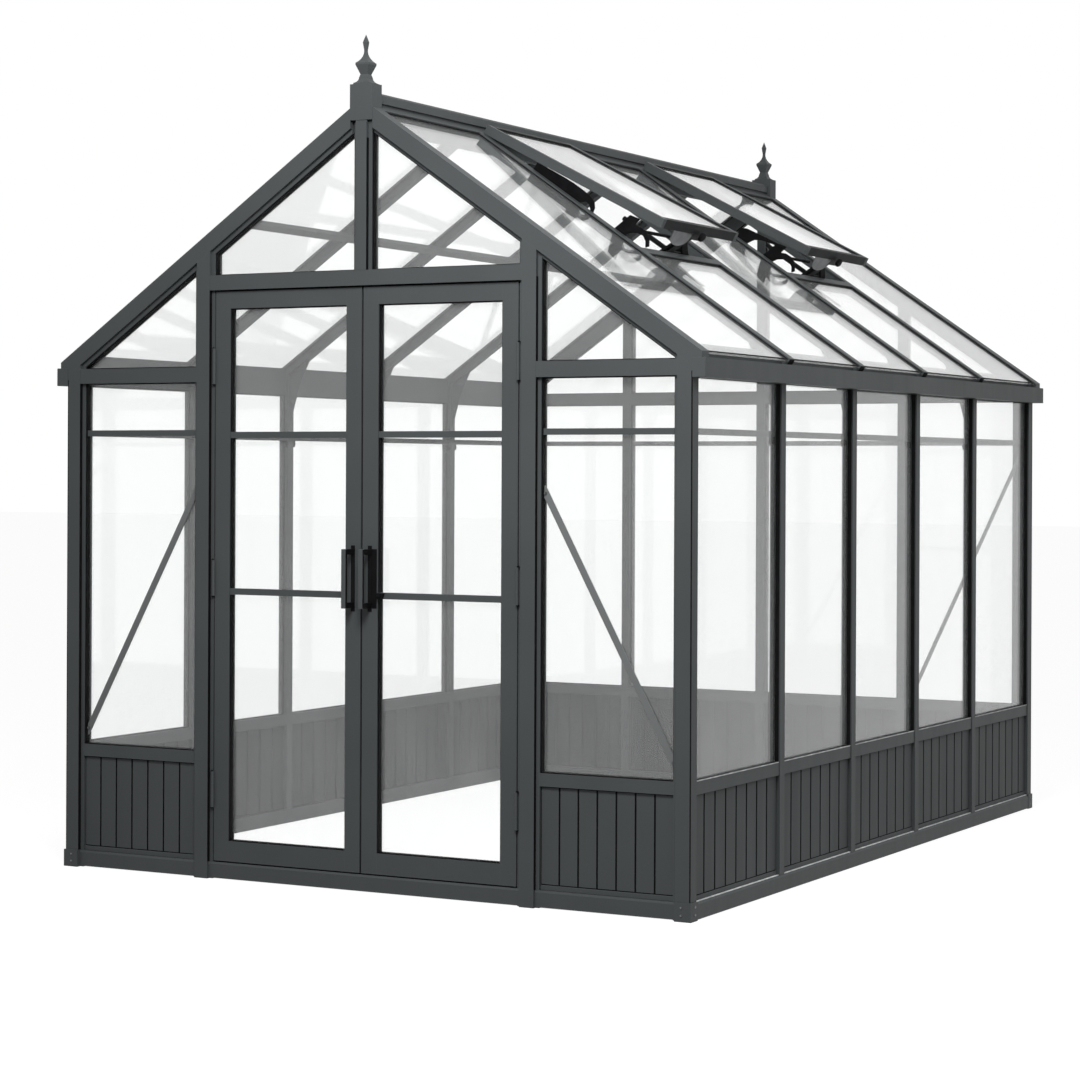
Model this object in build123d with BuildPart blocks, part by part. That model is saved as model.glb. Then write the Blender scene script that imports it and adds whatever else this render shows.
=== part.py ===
"""Glass greenhouse: aluminium frame, board skirting, double doors and two open roof windows.

Millimetres. X runs across the gables, Y from the front gable to the back one, Z up.
The origin is on the ground in the middle of the plan.
"""
import os
from math import atan2, cos, degrees, hypot, radians, sin, tan

from build123d import *

os.makedirs("parts", exist_ok=True)

# ---- driving sizes -------------------------------------------------------------------

length = 3276.0  # over the outer faces of the corner posts
width = 2386.0  # over the outer faces of the side posts
eave_line = 1763.0  # where the roof's top planes meet the planes of the side walls
roof_pitch = 34.5  # degrees

base_rail_height = 56.0
base_rail_lift = 3.0  # the rails hang this far clear of the ground, the posts stand on it
base_rail_bevel = 6.0
sill_bottom = 383.0
sill_height = 41.0
crossbar_bottom = 1487.0
crossbar_height = 20.0
gable_rail_bottom = 1668.0
gable_rail_height = 50.0
door_head_bottom = 1975.0
door_head_height = 50.0

glass = 4.0  # thickness of every sheet
glass_play = 0.3  # clearance of a sheet in its slot, each face
glass_bite = 8.0  # depth of the slots
glass_edge = 1.0  # clearance of a sheet's edge from the bottom of its slot

# gable walls: the posts have a proud face with a flange either side of it
gable_face_step = 14.0  # from the post faces back to the flanges
gable_flange = 13.0
gable_glass_inset = 37.0  # from the post faces back to the glass
gable_depth = 55.0
corner_face = 52.0  # seen from the front
corner_return = 45.0  # seen from the side
door_post_face = 52.0
door_post_share = 0.523  # of half the width, from the middle to the middle of a door post
mullion_face = 41.0
rail_set_back = 1.0  # gable rails behind the post faces
gable_base_set_back = 9.0

# side walls
side_bays = 5
bar_face = 37.0
bar_depth = 40.0
side_glass_inset = 18.0
corner_to_first_bay = 79.5  # from the gable plane to the line the bays are counted from
side_sill_set_back = 3.0
side_base_proud = 4.0
crossbar_depth = 13.0

# board skirting
skirt_thickness = 16.0
gable_skirt_inset = 23.0
side_skirt_inset = 12.0

# feet
foot_wall = 5.0
foot_height = 58.0

# roof
roof_cap = 7.0  # the bars stand this far above the glass
roof_bar_depth = 38.0
barge_height = 55.0  # square to the slope
barge_overhang = 31.0  # past the side walls
barge_end_height = 20.0  # of the plumb cut at its lower end
eave_rail_bottom = 1664.0
eave_rail_depth = 27.0
roof_glass_overhang = 30.0  # past the side walls, over the gutter

# ridge
ridge_cap_half = 32.0
ridge_cap_drop = 10.0  # of its lower edges below the apex
ridge_cap_rise = 23.0  # of its top above the apex
ridge_chamfer = 7.0
ridge_stem_half = 12.0
ridge_stem_drop = 93.0
ridge_wing_half = 54.0
finial_block_width = 85.0
finial_block_depth = 60.0
finial_block_drop = 70.0
finial_block_rise = 48.0
finial_block_proud = 2.0

# gutters
gutter_width = 45.0
gutter_bottom = 1661.0
gutter_height = 61.0
gutter_back_height = 42.0
gutter_wall = 3.0
gutter_lip = 8.0
gutter_cap_height = 60.0

# doors
door_gap = 5.0  # round the leaves
meeting_gap = 7.0  # between the two leaves
leaf_depth = 35.0
leaf_glass_inset = 21.0
stile_width = 58.0
leaf_top_rail = 57.0
leaf_bottom_rail = 68.0
leaf_bar_height = 21.0
leaf_bar_set_back = 3.0
leaf_mid_bar_bottom = 955.0
leaf_upper_bar_bottom = 1479.0
handle_bottom = 924.0
handle_height = 193.0
handle_reach = 60.0
handle_bar_width = 17.0
handle_bar_depth = 12.0
handle_arm_height = 19.0
hinge_radius = 5.5
hinge_pin_radius = 2.5
hinge_pin_play = 0.1
hinge_height = 120.0
hinge_knuckle_gap = 0.6
hinge_plate = 1.8
hinge_plate_reach = 32.0
hinge_heights = (300.0, 1010.0, 1720.0)

# roof windows on the right slope
window_bays = (1, 3)  # counted from the front, the first bay is 0
window_length = 770.0  # down the slope
window_side_lap = 10.0  # over the bar on each side
window_frame_width = 22.0
window_frame_depth = 33.0
window_seat = 0.3  # clear above the bars when shut
window_open_angle = 7.0
window_glass_inset = 6.0
opening_rail_width = 34.0

# opener of each roof window: crossed arms between the opening rail and the window's lower rail
opener_arm_width = 22.0
opener_arm_thickness = 5.0
opener_foot_half = 80.0  # half the distance between the arms' feet
opener_foot_depth = 12.0  # below the roof's top plane
opener_head_half = 35.0
opener_pin_radius = 5.0
opener_lug_height = 24.0
opener_lug_thickness = 6.0
opener_tube_radius = 9.0
opener_tube_length = 240.0
opener_stay_width = 20.0
opener_stay_length = 110.0  # past the opening rail

# gussets between the side posts and the roof bars
knee_thickness = 6.0
knee_drop = 105.0  # down the post from the eave rail's underside
knee_reach = 90.0  # in from the post's inner face
knee_hollow = 9.0  # sag of the curved edge

# horizontal tie inside the left slope
purlin_distance = 610.0  # down the slope from the apex
purlin_width = 30.0
purlin_depth = 18.0

# flat bracing bars
brace_width = 21.0
brace_thickness = 5.0
gable_brace_top = 1318.0
gable_brace_foot = 464.0
side_brace_top = 1467.0
side_brace_foot = 509.0

# ---- worked out from the sizes above -------------------------------------------------

front = -length / 2
side = width / 2
pitch = radians(roof_pitch)
roof_apex = eave_line + side * tan(pitch)  # where the two roof planes meet
ridge_cap_bottom = roof_apex - ridge_cap_drop
ridge_cap_top = roof_apex + ridge_cap_rise
ridge_stem_bottom = roof_apex - ridge_stem_drop
finial_block_bottom = roof_apex - finial_block_drop
finial_block_top = roof_apex + finial_block_rise
slot = glass + 2 * glass_play
sill_top = sill_bottom + sill_height
gable_rail_top = gable_rail_bottom + gable_rail_height
door_head_top = door_head_bottom + door_head_height
door_post_centre = door_post_share * side
door_opening = door_post_centre - door_post_face / 2 - gable_flange

reach = glass_bite - glass_edge  # how far a sheet goes into a slot

bay = (length - 2 * corner_to_first_bay) / side_bays
post_ys = [(i - side_bays / 2) * bay for i in range(1, side_bays)]


def bay_spans(end):
    """Clear spans between the bars of a side wall or slope that ends at y = -end and end."""
    edges = [y + s * bar_face / 2 for y in post_ys for s in (-1, 1)]
    edges = [-end] + edges + [end]
    return list(zip(edges[0::2], edges[1::2]))


wall_spans = bay_spans(-front - corner_return)
slope_spans = bay_spans(-front - gable_depth)

# the roof's top planes: local x runs down the slope and local z stands off the roof
right_slope = Plane(
    origin=(0, 0, roof_apex), x_dir=(cos(pitch), 0, -sin(pitch)), z_dir=(sin(pitch), 0, cos(pitch))
)
left_slope = Plane(
    origin=(0, 0, roof_apex), x_dir=(-cos(pitch), 0, -sin(pitch)), z_dir=(-sin(pitch), 0, cos(pitch))
)
barge_seat = right_slope.offset(-barge_height)  # under the barge rafters


def roof_height(x, below=0.0):
    """Height at x of the line that lies `below` under the roof's top plane, square to it."""
    return roof_apex - below / cos(pitch) - abs(x) * tan(pitch)


# ---- shapes that several pieces share -------------------------------------------------


def block(x0, x1, y0, y1, z0, z1, mode=Mode.ADD):
    """Add or cut a block between two opposite corners."""
    with Locations(((x0 + x1) / 2, (y0 + y1) / 2, (z0 + z1) / 2)):
        Box(abs(x1 - x0), abs(y1 - y0), abs(z1 - z0), mode=mode)


def slope_block(plane, x0, x1, y0, y1, z0, z1, mode=Mode.ADD):
    """Add or cut a block along a slope: down it, along the roof, and off it."""
    with Locations(plane):
        with Locations(((x0 + x1) / 2, (y0 + y1) / 2, (z0 + z1) / 2)):
            Box(abs(x1 - x0), abs(y1 - y0), abs(z1 - z0), mode=mode)


def glazing_bar(face, depth, inset):
    """Draw a glazing bar end-on, outer face along the local X axis, a glass slot in each flank."""
    Rectangle(face, depth, align=(Align.CENTER, Align.MAX))
    with Locations((-face / 2, glass_play - inset), (face / 2, glass_play - inset)):
        Rectangle(2 * glass_bite, slot, align=(Align.CENTER, Align.MAX), mode=Mode.SUBTRACT)


def gable_bar(face):
    """Draw a gable post end-on: proud face, wider flange behind it, a glass slot in each flank."""
    Rectangle(face, gable_depth, align=(Align.CENTER, Align.MAX))
    with Locations((0, -gable_face_step)):
        Rectangle(face + 2 * gable_flange, gable_depth - gable_face_step, align=(Align.CENTER, Align.MAX))
    half = face / 2 + gable_flange
    with Locations((-half, glass_play - gable_glass_inset), (half, glass_play - gable_glass_inset)):
        Rectangle(2 * glass_bite, slot, align=(Align.CENTER, Align.MAX), mode=Mode.SUBTRACT)


def gable_plane(inset):
    """An upright plane across the front gable, x to the right and y up, `inset` behind the posts' faces."""
    return Plane.XZ.offset(-front - inset)


def flat_bar(x0, z0, x1, z1):
    """Draw a round-ended flat bar between two points of the sketch."""
    with Locations(((x0 + x1) / 2, (z0 + z1) / 2)):
        SlotCenterToCenter(hypot(x1 - x0, z1 - z0), brace_width, rotation=degrees(atan2(z1 - z0, x1 - x0)))


def cut(*nodes):
    """Cut finished pieces out of the part being built."""
    for node in nodes:
        add(node.part, mode=Mode.SUBTRACT)


def save(node, name):
    """Label a finished piece and write it."""
    node.part.label = name
    export_step(node.part, f"parts/{name}.step")


# ---- posts ----------------------------------------------------------------------------

corner_inner = side - corner_face  # inner edge of a corner post's face
corner_flange = corner_inner - gable_flange
door_post_inner = door_post_centre - door_post_face / 2
door_post_outer = door_post_centre + door_post_face / 2
outer_flange = door_post_outer + gable_flange
mullion_flange = mullion_face / 2 + gable_flange
front_plane = Plane(origin=(0, front, 0), x_dir=(-1, 0, 0), z_dir=(0, 0, 1))  # local y points outwards
back_plane = Plane(origin=(0, -front, 0), x_dir=(1, 0, 0), z_dir=(0, 0, 1))

with BuildPart() as corner_posts:
    with BuildSketch():
        with Locations((side, front)):
            Rectangle(corner_face, corner_return, align=(Align.MAX, Align.MIN))
        with Locations((side - bar_depth, front + gable_face_step)):
            Rectangle(
                corner_face + gable_flange - bar_depth,
                gable_depth - gable_face_step,
                align=(Align.MAX, Align.MIN),
            )
        with Locations((corner_flange, front + gable_glass_inset - glass_play)):
            Rectangle(2 * glass_bite, slot, align=(Align.CENTER, Align.MIN), mode=Mode.SUBTRACT)
        with Locations((side - side_glass_inset + glass_play, front + corner_return)):
            Rectangle(slot, 2 * glass_bite, align=(Align.MAX, Align.CENTER), mode=Mode.SUBTRACT)
    extrude(amount=roof_apex)
    split(bisect_by=barge_seat, keep=Keep.BOTTOM)
    mirror(about=Plane.YZ)
    mirror(about=Plane.XZ)
save(corner_posts, "corner_posts")

with BuildPart() as gable_posts:
    with BuildSketch(front_plane):
        with Locations((-door_post_centre, 0)):
            gable_bar(door_post_face)
    with BuildSketch(back_plane):
        with Locations((outer_flange - bar_face / 2, 0)):
            glazing_bar(bar_face, gable_depth, gable_glass_inset)
    extrude(amount=roof_apex)
    split(bisect_by=barge_seat, keep=Keep.BOTTOM)
    mirror(about=Plane.YZ)
    with BuildSketch(back_plane):
        glazing_bar(bar_face, gable_depth, gable_glass_inset)
    extrude(amount=finial_block_bottom)
save(gable_posts, "gable_posts")

with BuildPart() as gable_mullion:
    with BuildSketch(front_plane.offset(door_head_top)):
        gable_bar(mullion_face)
    extrude(amount=finial_block_bottom - door_head_top)
save(gable_mullion, "gable_mullion")

with BuildPart() as side_posts:
    with BuildSketch(Plane(origin=(side, 0, base_rail_height), x_dir=(0, -1, 0), z_dir=(0, 0, 1))):
        with Locations(*[(y, 0) for y in post_ys]):
            glazing_bar(bar_face, bar_depth, side_glass_inset)
    extrude(amount=eave_rail_bottom - base_rail_height)
    for y in post_ys:
        block(
            side - bar_depth,
            side - eave_rail_depth,
            y - bar_face / 2,
            y + bar_face / 2,
            eave_rail_bottom,
            roof_apex,
        )
    split(bisect_by=right_slope.offset(-roof_bar_depth), keep=Keep.BOTTOM)
    mirror(about=Plane.YZ)
save(side_posts, "side_posts")

with BuildPart() as corner_feet:
    block(corner_inner, side + foot_wall, front - foot_wall, front + corner_return, 0, foot_height)
    block(corner_inner, side, front, front + corner_return, 0, foot_height, mode=Mode.SUBTRACT)
    mirror(about=Plane.YZ)
    mirror(about=Plane.XZ)
save(corner_feet, "corner_feet")


# ---- base rails, sills and skirting -----------------------------------------------------


def base_rail_profile(face, depth):
    """Draw a base rail end-on, outer face at the local x `face`, its front top edge bevelled."""
    with BuildLine() as outline:
        Polyline(
            (face - depth, base_rail_lift),
            (face, base_rail_lift),
            (face, base_rail_height - base_rail_bevel),
            (face - base_rail_bevel, base_rail_height),
            (face - depth, base_rail_height),
            close=True,
        )
    make_face(outline.edges())


with BuildPart() as side_base_rails:
    with BuildSketch(Plane.XZ.offset(-front - corner_return)):
        base_rail_profile(side + side_base_proud, bar_depth + side_base_proud)
    extrude(amount=2 * (front + corner_return))
    mirror(about=Plane.YZ)
save(side_base_rails, "side_base_rails")

gable_base_depth = gable_depth - gable_base_set_back

with BuildPart() as front_base_rails:
    with BuildSketch(Plane.YZ.offset(door_post_outer)):
        base_rail_profile(-front - gable_base_set_back, gable_base_depth)
    extrude(amount=corner_inner - door_post_outer)
    mirror(about=Plane.YZ)
    with BuildSketch(Plane.YZ.offset(-door_post_inner)):
        base_rail_profile(-front - gable_base_set_back, gable_base_depth)
    extrude(amount=2 * door_post_inner)
    mirror(about=Plane.XZ, mode=Mode.REPLACE)
    cut(corner_posts, gable_posts)
save(front_base_rails, "front_base_rails")

with BuildPart() as back_base_rails:
    with BuildSketch(Plane.YZ.offset(-corner_inner)):
        base_rail_profile(-front - gable_base_set_back, gable_base_depth)
    extrude(amount=2 * corner_inner)
    cut(corner_posts, gable_posts)
save(back_base_rails, "back_base_rails")

# clear bays of the gable walls, right-hand half: beside the corners, over the doors, and behind them
outer_bay = (outer_flange, corner_flange)
door_bay = (mullion_flange, door_opening)
back_bay = (bar_face / 2, outer_flange - bar_face)

with BuildPart() as gable_sill_rails:
    for x0, x1 in (outer_bay, back_bay):
        block(x0, x1, -front - gable_depth, -front - gable_face_step, sill_bottom, sill_top)
    block(*outer_bay, front + gable_face_step, front + gable_depth, sill_bottom, sill_top)
    for s in (-1, 1):
        glass_line = s * (-front - gable_glass_inset - glass / 2)
        block(
            0,
            side,
            glass_line - slot / 2,
            glass_line + slot / 2,
            sill_top - glass_bite,
            sill_top,
            mode=Mode.SUBTRACT,
        )
    mirror(about=Plane.YZ)
save(gable_sill_rails, "gable_sill_rails")

with BuildPart() as side_sill_rails:
    for y0, y1 in wall_spans:
        block(side - bar_depth, side - side_sill_set_back, y0, y1, sill_bottom, sill_top)
    glass_line = side - side_glass_inset - glass / 2
    block(
        glass_line - slot / 2,
        glass_line + slot / 2,
        front,
        -front,
        sill_top - glass_bite,
        sill_top,
        mode=Mode.SUBTRACT,
    )
    mirror(about=Plane.YZ)
save(side_sill_rails, "side_sill_rails")

with BuildPart() as gable_skirting:
    skirt_y = -front - gable_skirt_inset
    for x0, x1 in (outer_bay, back_bay):
        block(x0, x1, skirt_y - skirt_thickness, skirt_y, base_rail_height, sill_bottom)
    block(*outer_bay, -skirt_y, skirt_thickness - skirt_y, base_rail_height, sill_bottom)
    mirror(about=Plane.YZ)
save(gable_skirting, "gable_skirting")

with BuildPart() as side_skirting:
    skirt_x = side - side_skirt_inset
    for y0, y1 in wall_spans:
        block(skirt_x - skirt_thickness, skirt_x, y0, y1, base_rail_height, sill_bottom)
    mirror(about=Plane.YZ)
save(side_skirting, "side_skirting")

# ---- crossbars: in front of the gables' glass and behind that of the side walls ------------

with BuildPart() as gable_crossbars:
    bar_y = -front - gable_glass_inset + glass_play
    crossbar_top = crossbar_bottom + crossbar_height
    for x0, x1 in (outer_bay, back_bay):
        block(x0, x1, bar_y, bar_y + crossbar_depth, crossbar_bottom, crossbar_top)
    block(*outer_bay, -bar_y - crossbar_depth, -bar_y, crossbar_bottom, crossbar_top)
    mirror(about=Plane.YZ)
save(gable_crossbars, "gable_crossbars")

with BuildPart() as side_crossbars:
    bar_x = side - side_glass_inset - glass - glass_play
    for y0, y1 in wall_spans:
        block(bar_x - crossbar_depth, bar_x, y0, y1, crossbar_bottom, crossbar_top)
    mirror(about=Plane.YZ)
save(side_crossbars, "side_crossbars")

# ---- gable rails and rafters ----------------------------------------------------------------


def gable_slot(y_side, height):
    """Cut the glass slot of a gable along a rail's top or bottom edge, on one gable or the other."""
    line = y_side * (-front - gable_glass_inset - glass / 2)
    block(
        -side,
        side,
        line - slot / 2,
        line + slot / 2,
        height - glass_bite,
        height + glass_bite,
        mode=Mode.SUBTRACT,
    )


with BuildPart() as gable_rails:
    for y_side in (-1, 1):
        y0 = y_side * (-front - rail_set_back)
        y1 = y_side * (-front - gable_depth)
        inner_end = door_post_outer if y_side < 0 else 0
        block(inner_end, corner_inner, y0, y1, gable_rail_bottom, gable_rail_top)
        gable_slot(y_side, gable_rail_bottom)
        gable_slot(y_side, gable_rail_top)
    mirror(about=Plane.YZ)
    cut(corner_posts, gable_posts)
save(gable_rails, "gable_rails")

with BuildPart() as door_head:
    block(
        -door_post_inner,
        door_post_inner,
        front + rail_set_back,
        front + gable_depth,
        door_head_bottom,
        door_head_top,
    )
    gable_slot(-1, door_head_top)
    cut(gable_posts)
save(door_head, "door_head")


def barge_outline(height):
    """Draw a barge rafter from the front, with the given height square to the slope."""
    start = finial_block_width / 2
    end = side + barge_overhang
    with BuildLine() as outline:
        Polyline(
            (start, roof_height(start)),
            (end, roof_height(end)),
            (end, roof_height(end) - barge_end_height),
            (side, roof_height(end) - barge_end_height),
            (side, roof_height(side, height)),
            (start, roof_height(start, height)),
            close=True,
        )
    make_face(outline.edges())


with BuildPart() as barge_rafters:
    with BuildSketch(gable_plane(0)):
        barge_outline(barge_height)
    extrude(amount=-gable_face_step)
    with BuildSketch(gable_plane(gable_face_step)):
        barge_outline(barge_height + gable_flange)
    extrude(amount=gable_face_step - gable_depth)
    flange_edge = -barge_height - gable_flange
    glass_line = front + gable_glass_inset + glass / 2
    slope_length = (side + barge_overhang) / cos(pitch) + barge_height
    slope_block(
        right_slope,
        0,
        slope_length,
        glass_line - slot / 2,
        glass_line + slot / 2,
        flange_edge - glass_bite,
        flange_edge + glass_bite,
        mode=Mode.SUBTRACT,
    )
    slope_block(
        right_slope,
        0,
        slope_length,
        front + gable_depth - glass_bite,
        front + gable_depth + glass_bite,
        glass_play - roof_cap,
        -glass_play - roof_cap - glass,
        mode=Mode.SUBTRACT,
    )
    mirror(about=Plane.YZ)
    mirror(about=Plane.XZ)
    cut(corner_posts, gable_posts, gable_rails)
save(barge_rafters, "barge_rafters")

# ---- ridge, eaves and gutters ---------------------------------------------------------------

glass_under = roof_cap + glass + glass_play  # from the roof's top plane down to what the roof glass lies on

with BuildPart() as ridge_bar:
    with BuildSketch(Plane.XZ.offset(-front - finial_block_depth + finial_block_proud)):
        with BuildLine():
            wing_tip = ridge_wing_half - (roof_cap - glass_play) * sin(pitch)
            Polyline(
                (0, ridge_cap_top),
                (ridge_cap_half - ridge_chamfer, ridge_cap_top),
                (ridge_cap_half, ridge_cap_top - ridge_chamfer),
                (ridge_cap_half, ridge_cap_bottom),
                (2 * ridge_stem_half, ridge_cap_bottom),
                (2 * ridge_stem_half, roof_height(2 * ridge_stem_half)),
                (ridge_wing_half, roof_height(ridge_wing_half)),
                (wing_tip, roof_height(wing_tip, roof_cap - glass_play)),
                (ridge_stem_half, roof_height(ridge_stem_half, roof_cap - glass_play)),
                (ridge_stem_half, ridge_stem_bottom),
                (0, ridge_stem_bottom),
                close=True,
            )
        make_face()
        mirror(about=Plane.YZ)
    extrude(amount=2 * (front + finial_block_depth - finial_block_proud))
save(ridge_bar, "ridge_bar")

with BuildPart() as eave_rails:
    with BuildSketch(Plane.XZ.offset(-front - corner_return)):
        with BuildLine():
            Polyline(
                (side - eave_rail_depth, eave_rail_bottom),
                (side, eave_rail_bottom),
                (side, roof_height(side, glass_under)),
                (side - eave_rail_depth, roof_height(side - eave_rail_depth, glass_under)),
                close=True,
            )
        make_face()
        with Locations((side - side_glass_inset + glass_play, eave_rail_bottom)):
            Rectangle(slot, 2 * glass_bite, align=(Align.MAX, Align.CENTER), mode=Mode.SUBTRACT)
    extrude(amount=2 * (front + corner_return))
    mirror(about=Plane.YZ)
    cut(barge_rafters)
save(eave_rails, "eave_rails")

with BuildPart() as gutters:
    gutter_outer = side + gutter_width
    gutter_top = gutter_bottom + gutter_height
    with BuildSketch(Plane.XZ.offset(-front)):
        with BuildLine():
            Polyline(
                (side, gutter_bottom + gutter_back_height),
                (side, gutter_bottom),
                (gutter_outer, gutter_bottom),
                (gutter_outer, gutter_top),
                (gutter_outer - gutter_lip, gutter_top),
                (gutter_outer - gutter_lip, gutter_top - gutter_wall),
                (gutter_outer - gutter_wall, gutter_top - gutter_wall),
                (gutter_outer - gutter_wall, gutter_bottom + gutter_wall),
                (side + gutter_wall, gutter_bottom + gutter_wall),
                (side + gutter_wall, gutter_bottom + gutter_back_height),
                close=True,
            )
        make_face()
    extrude(amount=2 * front)
    for y0 in (front, -front - gutter_wall):
        block(side, gutter_outer, y0, y0 + gutter_wall, gutter_bottom, gutter_bottom + gutter_cap_height)
    mirror(about=Plane.YZ)
    cut(barge_rafters)
save(gutters, "gutters")


# ---- finials --------------------------------------------------------------------------------

finial_base_half = 30.0
finial_flare_half = 16.5
finial_neck_half = 13.0
finial_belly_half = 25.0
finial_shank_half = 5.5
finial_collar_half = 7.75
finial_foot = 4.0
finial_flare_height = 22.0
finial_neck_height = 33.0
finial_belly_bottom = 64.0
finial_belly_top = 70.0
finial_shank_height = 120.0
finial_collar_height = 138.0
finial_height = 164.0


def finial_profile():
    """Draw the finial's outline, foot on the local x axis."""
    with BuildLine() as outline:
        Polyline((0, finial_height), (0, 0), (finial_base_half, 0), (finial_base_half, finial_foot))
        ThreePointArc(
            (finial_base_half, finial_foot),
            ((finial_base_half + 2 * finial_flare_half) / 3, (finial_flare_height + 2 * finial_foot) / 3),
            (finial_flare_half, finial_flare_height),
        )
        Polyline(
            (finial_flare_half, finial_flare_height),
            (finial_neck_half, finial_neck_height),
            (finial_belly_half, finial_belly_bottom),
            (finial_belly_half, finial_belly_top),
        )
        ThreePointArc(
            (finial_belly_half, finial_belly_top),
            (
                (finial_belly_half + 3 * finial_shank_half) / 4,
                (2 * finial_belly_top + finial_shank_height) / 3,
            ),
            (finial_shank_half, finial_shank_height),
        )
        Polyline(
            (finial_shank_half, finial_shank_height),
            (finial_collar_half, finial_collar_height),
            (0, finial_height),
        )
    make_face(outline.edges())
    mirror(about=Plane.YZ)


with BuildPart() as finials:
    finial_y = front - finial_block_proud + finial_block_depth / 2
    with BuildSketch(Plane(origin=(0, finial_y, finial_block_top), x_dir=(1, 0, 0), z_dir=(0, -1, 0))):
        finial_profile()
    extrude(amount=finial_base_half, both=True)
    with BuildSketch(Plane(origin=(0, finial_y, finial_block_top), x_dir=(0, 1, 0), z_dir=(1, 0, 0))):
        finial_profile()
    extrude(amount=finial_base_half, both=True, mode=Mode.INTERSECT)
    half_width = finial_block_width / 2
    half_depth = finial_block_depth / 2
    block(
        -half_width,
        half_width,
        finial_y - half_depth,
        finial_y + half_depth,
        finial_block_bottom,
        finial_block_top,
    )
    mirror(about=Plane.XZ)
save(finials, "finials")

# ---- roof bars and roof windows' openings -----------------------------------------------------

bar_top = (ridge_stem_half + roof_bar_depth * sin(pitch)) / cos(pitch)  # down the slope from the apex
hinge_distance = ridge_wing_half / cos(pitch)  # down the slope to the windows' hinges
opening_foot = hinge_distance + window_length  # down the slope to the openings' lower edges
roof_foot = (side + roof_glass_overhang) / cos(pitch)


def roof_bars(slope):
    """Extrude the bars of one slope between the ridge and the eave."""
    top = slope.origin + slope.x_dir * bar_top
    with BuildSketch(Plane(origin=top, x_dir=slope.y_dir, z_dir=slope.x_dir)) as bars:
        with Locations(*[(y, 0) for y in post_ys]):
            glazing_bar(bar_face, roof_bar_depth, roof_cap)
    extrude(bars.sketch, amount=roof_foot - bar_top)
    cut(ridge_bar, eave_rails)


with BuildPart() as right_roof_bars:
    roof_bars(right_slope)
save(right_roof_bars, "right_roof_bars")

with BuildPart() as left_roof_bars:
    roof_bars(left_slope)
save(left_roof_bars, "left_roof_bars")

with BuildPart() as opening_rails:
    for i in window_bays:
        y0, y1 = slope_spans[i]
        slope_block(right_slope, opening_foot - opening_rail_width, opening_foot, y0, y1, -roof_bar_depth, 0)
        slope_block(
            right_slope,
            opening_foot - glass_bite,
            opening_foot,
            y0,
            y1,
            -roof_cap - glass - glass_play,
            -roof_cap + glass_play,
            mode=Mode.SUBTRACT,
        )
save(opening_rails, "opening_rails")

with BuildPart() as roof_tie:
    end = -front - gable_depth
    slope_block(
        left_slope,
        purlin_distance - purlin_width / 2,
        purlin_distance + purlin_width / 2,
        -end,
        end,
        -roof_bar_depth - purlin_depth,
        -roof_bar_depth,
    )
save(roof_tie, "left_roof_tie")

# ---- glass ------------------------------------------------------------------------------------

roof_glass_top = (finial_block_width / 2 + glass_edge + glass_under * sin(pitch)) / cos(pitch)


def roof_panes(slope, open_bays=()):
    """Lay one pane in each bay of a slope, below the opening where the bay has a window."""
    for i, (y0, y1) in enumerate(slope_spans):
        top = opening_foot - reach if i in open_bays else roof_glass_top
        slope_block(slope, top, roof_foot, y0 - reach, y1 + reach, -roof_cap - glass, -roof_cap)


with BuildPart() as right_roof_glass:
    roof_panes(right_slope, window_bays)
save(right_roof_glass, "right_roof_glass")

with BuildPart() as left_roof_glass:
    roof_panes(left_slope)
save(left_roof_glass, "left_roof_glass")


def gable_pane(y_side, *corners):
    """Extrude one pane of a gable from its corners, given from the middle outwards and up."""
    with BuildSketch(Plane.XZ.offset(-y_side * (-front - gable_glass_inset))) as pane:
        Polygon(*corners, align=None)
    extrude(pane.sketch, amount=y_side * glass)


def gable_panes(y_side, inner_bay, inner_foot):
    """Glaze the right-hand half of one gable above its rails, whose inner bay starts at inner_foot."""
    edge_drop = barge_height + gable_flange - reach
    outer_foot = gable_rail_top - reach
    for (x0, x1), foot in ((outer_bay, outer_foot), (inner_bay, inner_foot - reach)):
        left = x0 - reach
        right = x1 + reach
        gable_pane(
            y_side,
            (left, foot),
            (right, foot),
            (right, roof_height(right, edge_drop)),
            (left, roof_height(left, edge_drop)),
        )


def wall_pane_gable(y_side, x0, x1):
    """One upright pane of a gable wall, from its sill to the gable rail."""
    foot = sill_top - reach
    top = gable_rail_bottom + reach
    gable_pane(y_side, (x0 - reach, foot), (x1 + reach, foot), (x1 + reach, top), (x0 - reach, top))


with BuildPart() as front_glass:
    gable_panes(-1, door_bay, door_head_top)
    wall_pane_gable(-1, *outer_bay)
    mirror(about=Plane.YZ)
save(front_glass, "front_glass")

with BuildPart() as back_glass:
    gable_panes(1, back_bay, gable_rail_top)
    wall_pane_gable(1, *outer_bay)
    wall_pane_gable(1, *back_bay)
    mirror(about=Plane.YZ)
save(back_glass, "back_glass")


def side_panes(x_side):
    """Glaze one side wall, a pane to each bay."""
    outer = x_side * (side - side_glass_inset)
    for y0, y1 in wall_spans:
        block(
            outer - x_side * glass, outer, y0 - reach, y1 + reach, sill_top - reach, eave_rail_bottom + reach
        )


with BuildPart() as right_glass:
    side_panes(1)
save(right_glass, "right_glass")

with BuildPart() as left_glass:
    side_panes(-1)
save(left_glass, "left_glass")

# ---- bracing ------------------------------------------------------------------------------------

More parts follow.
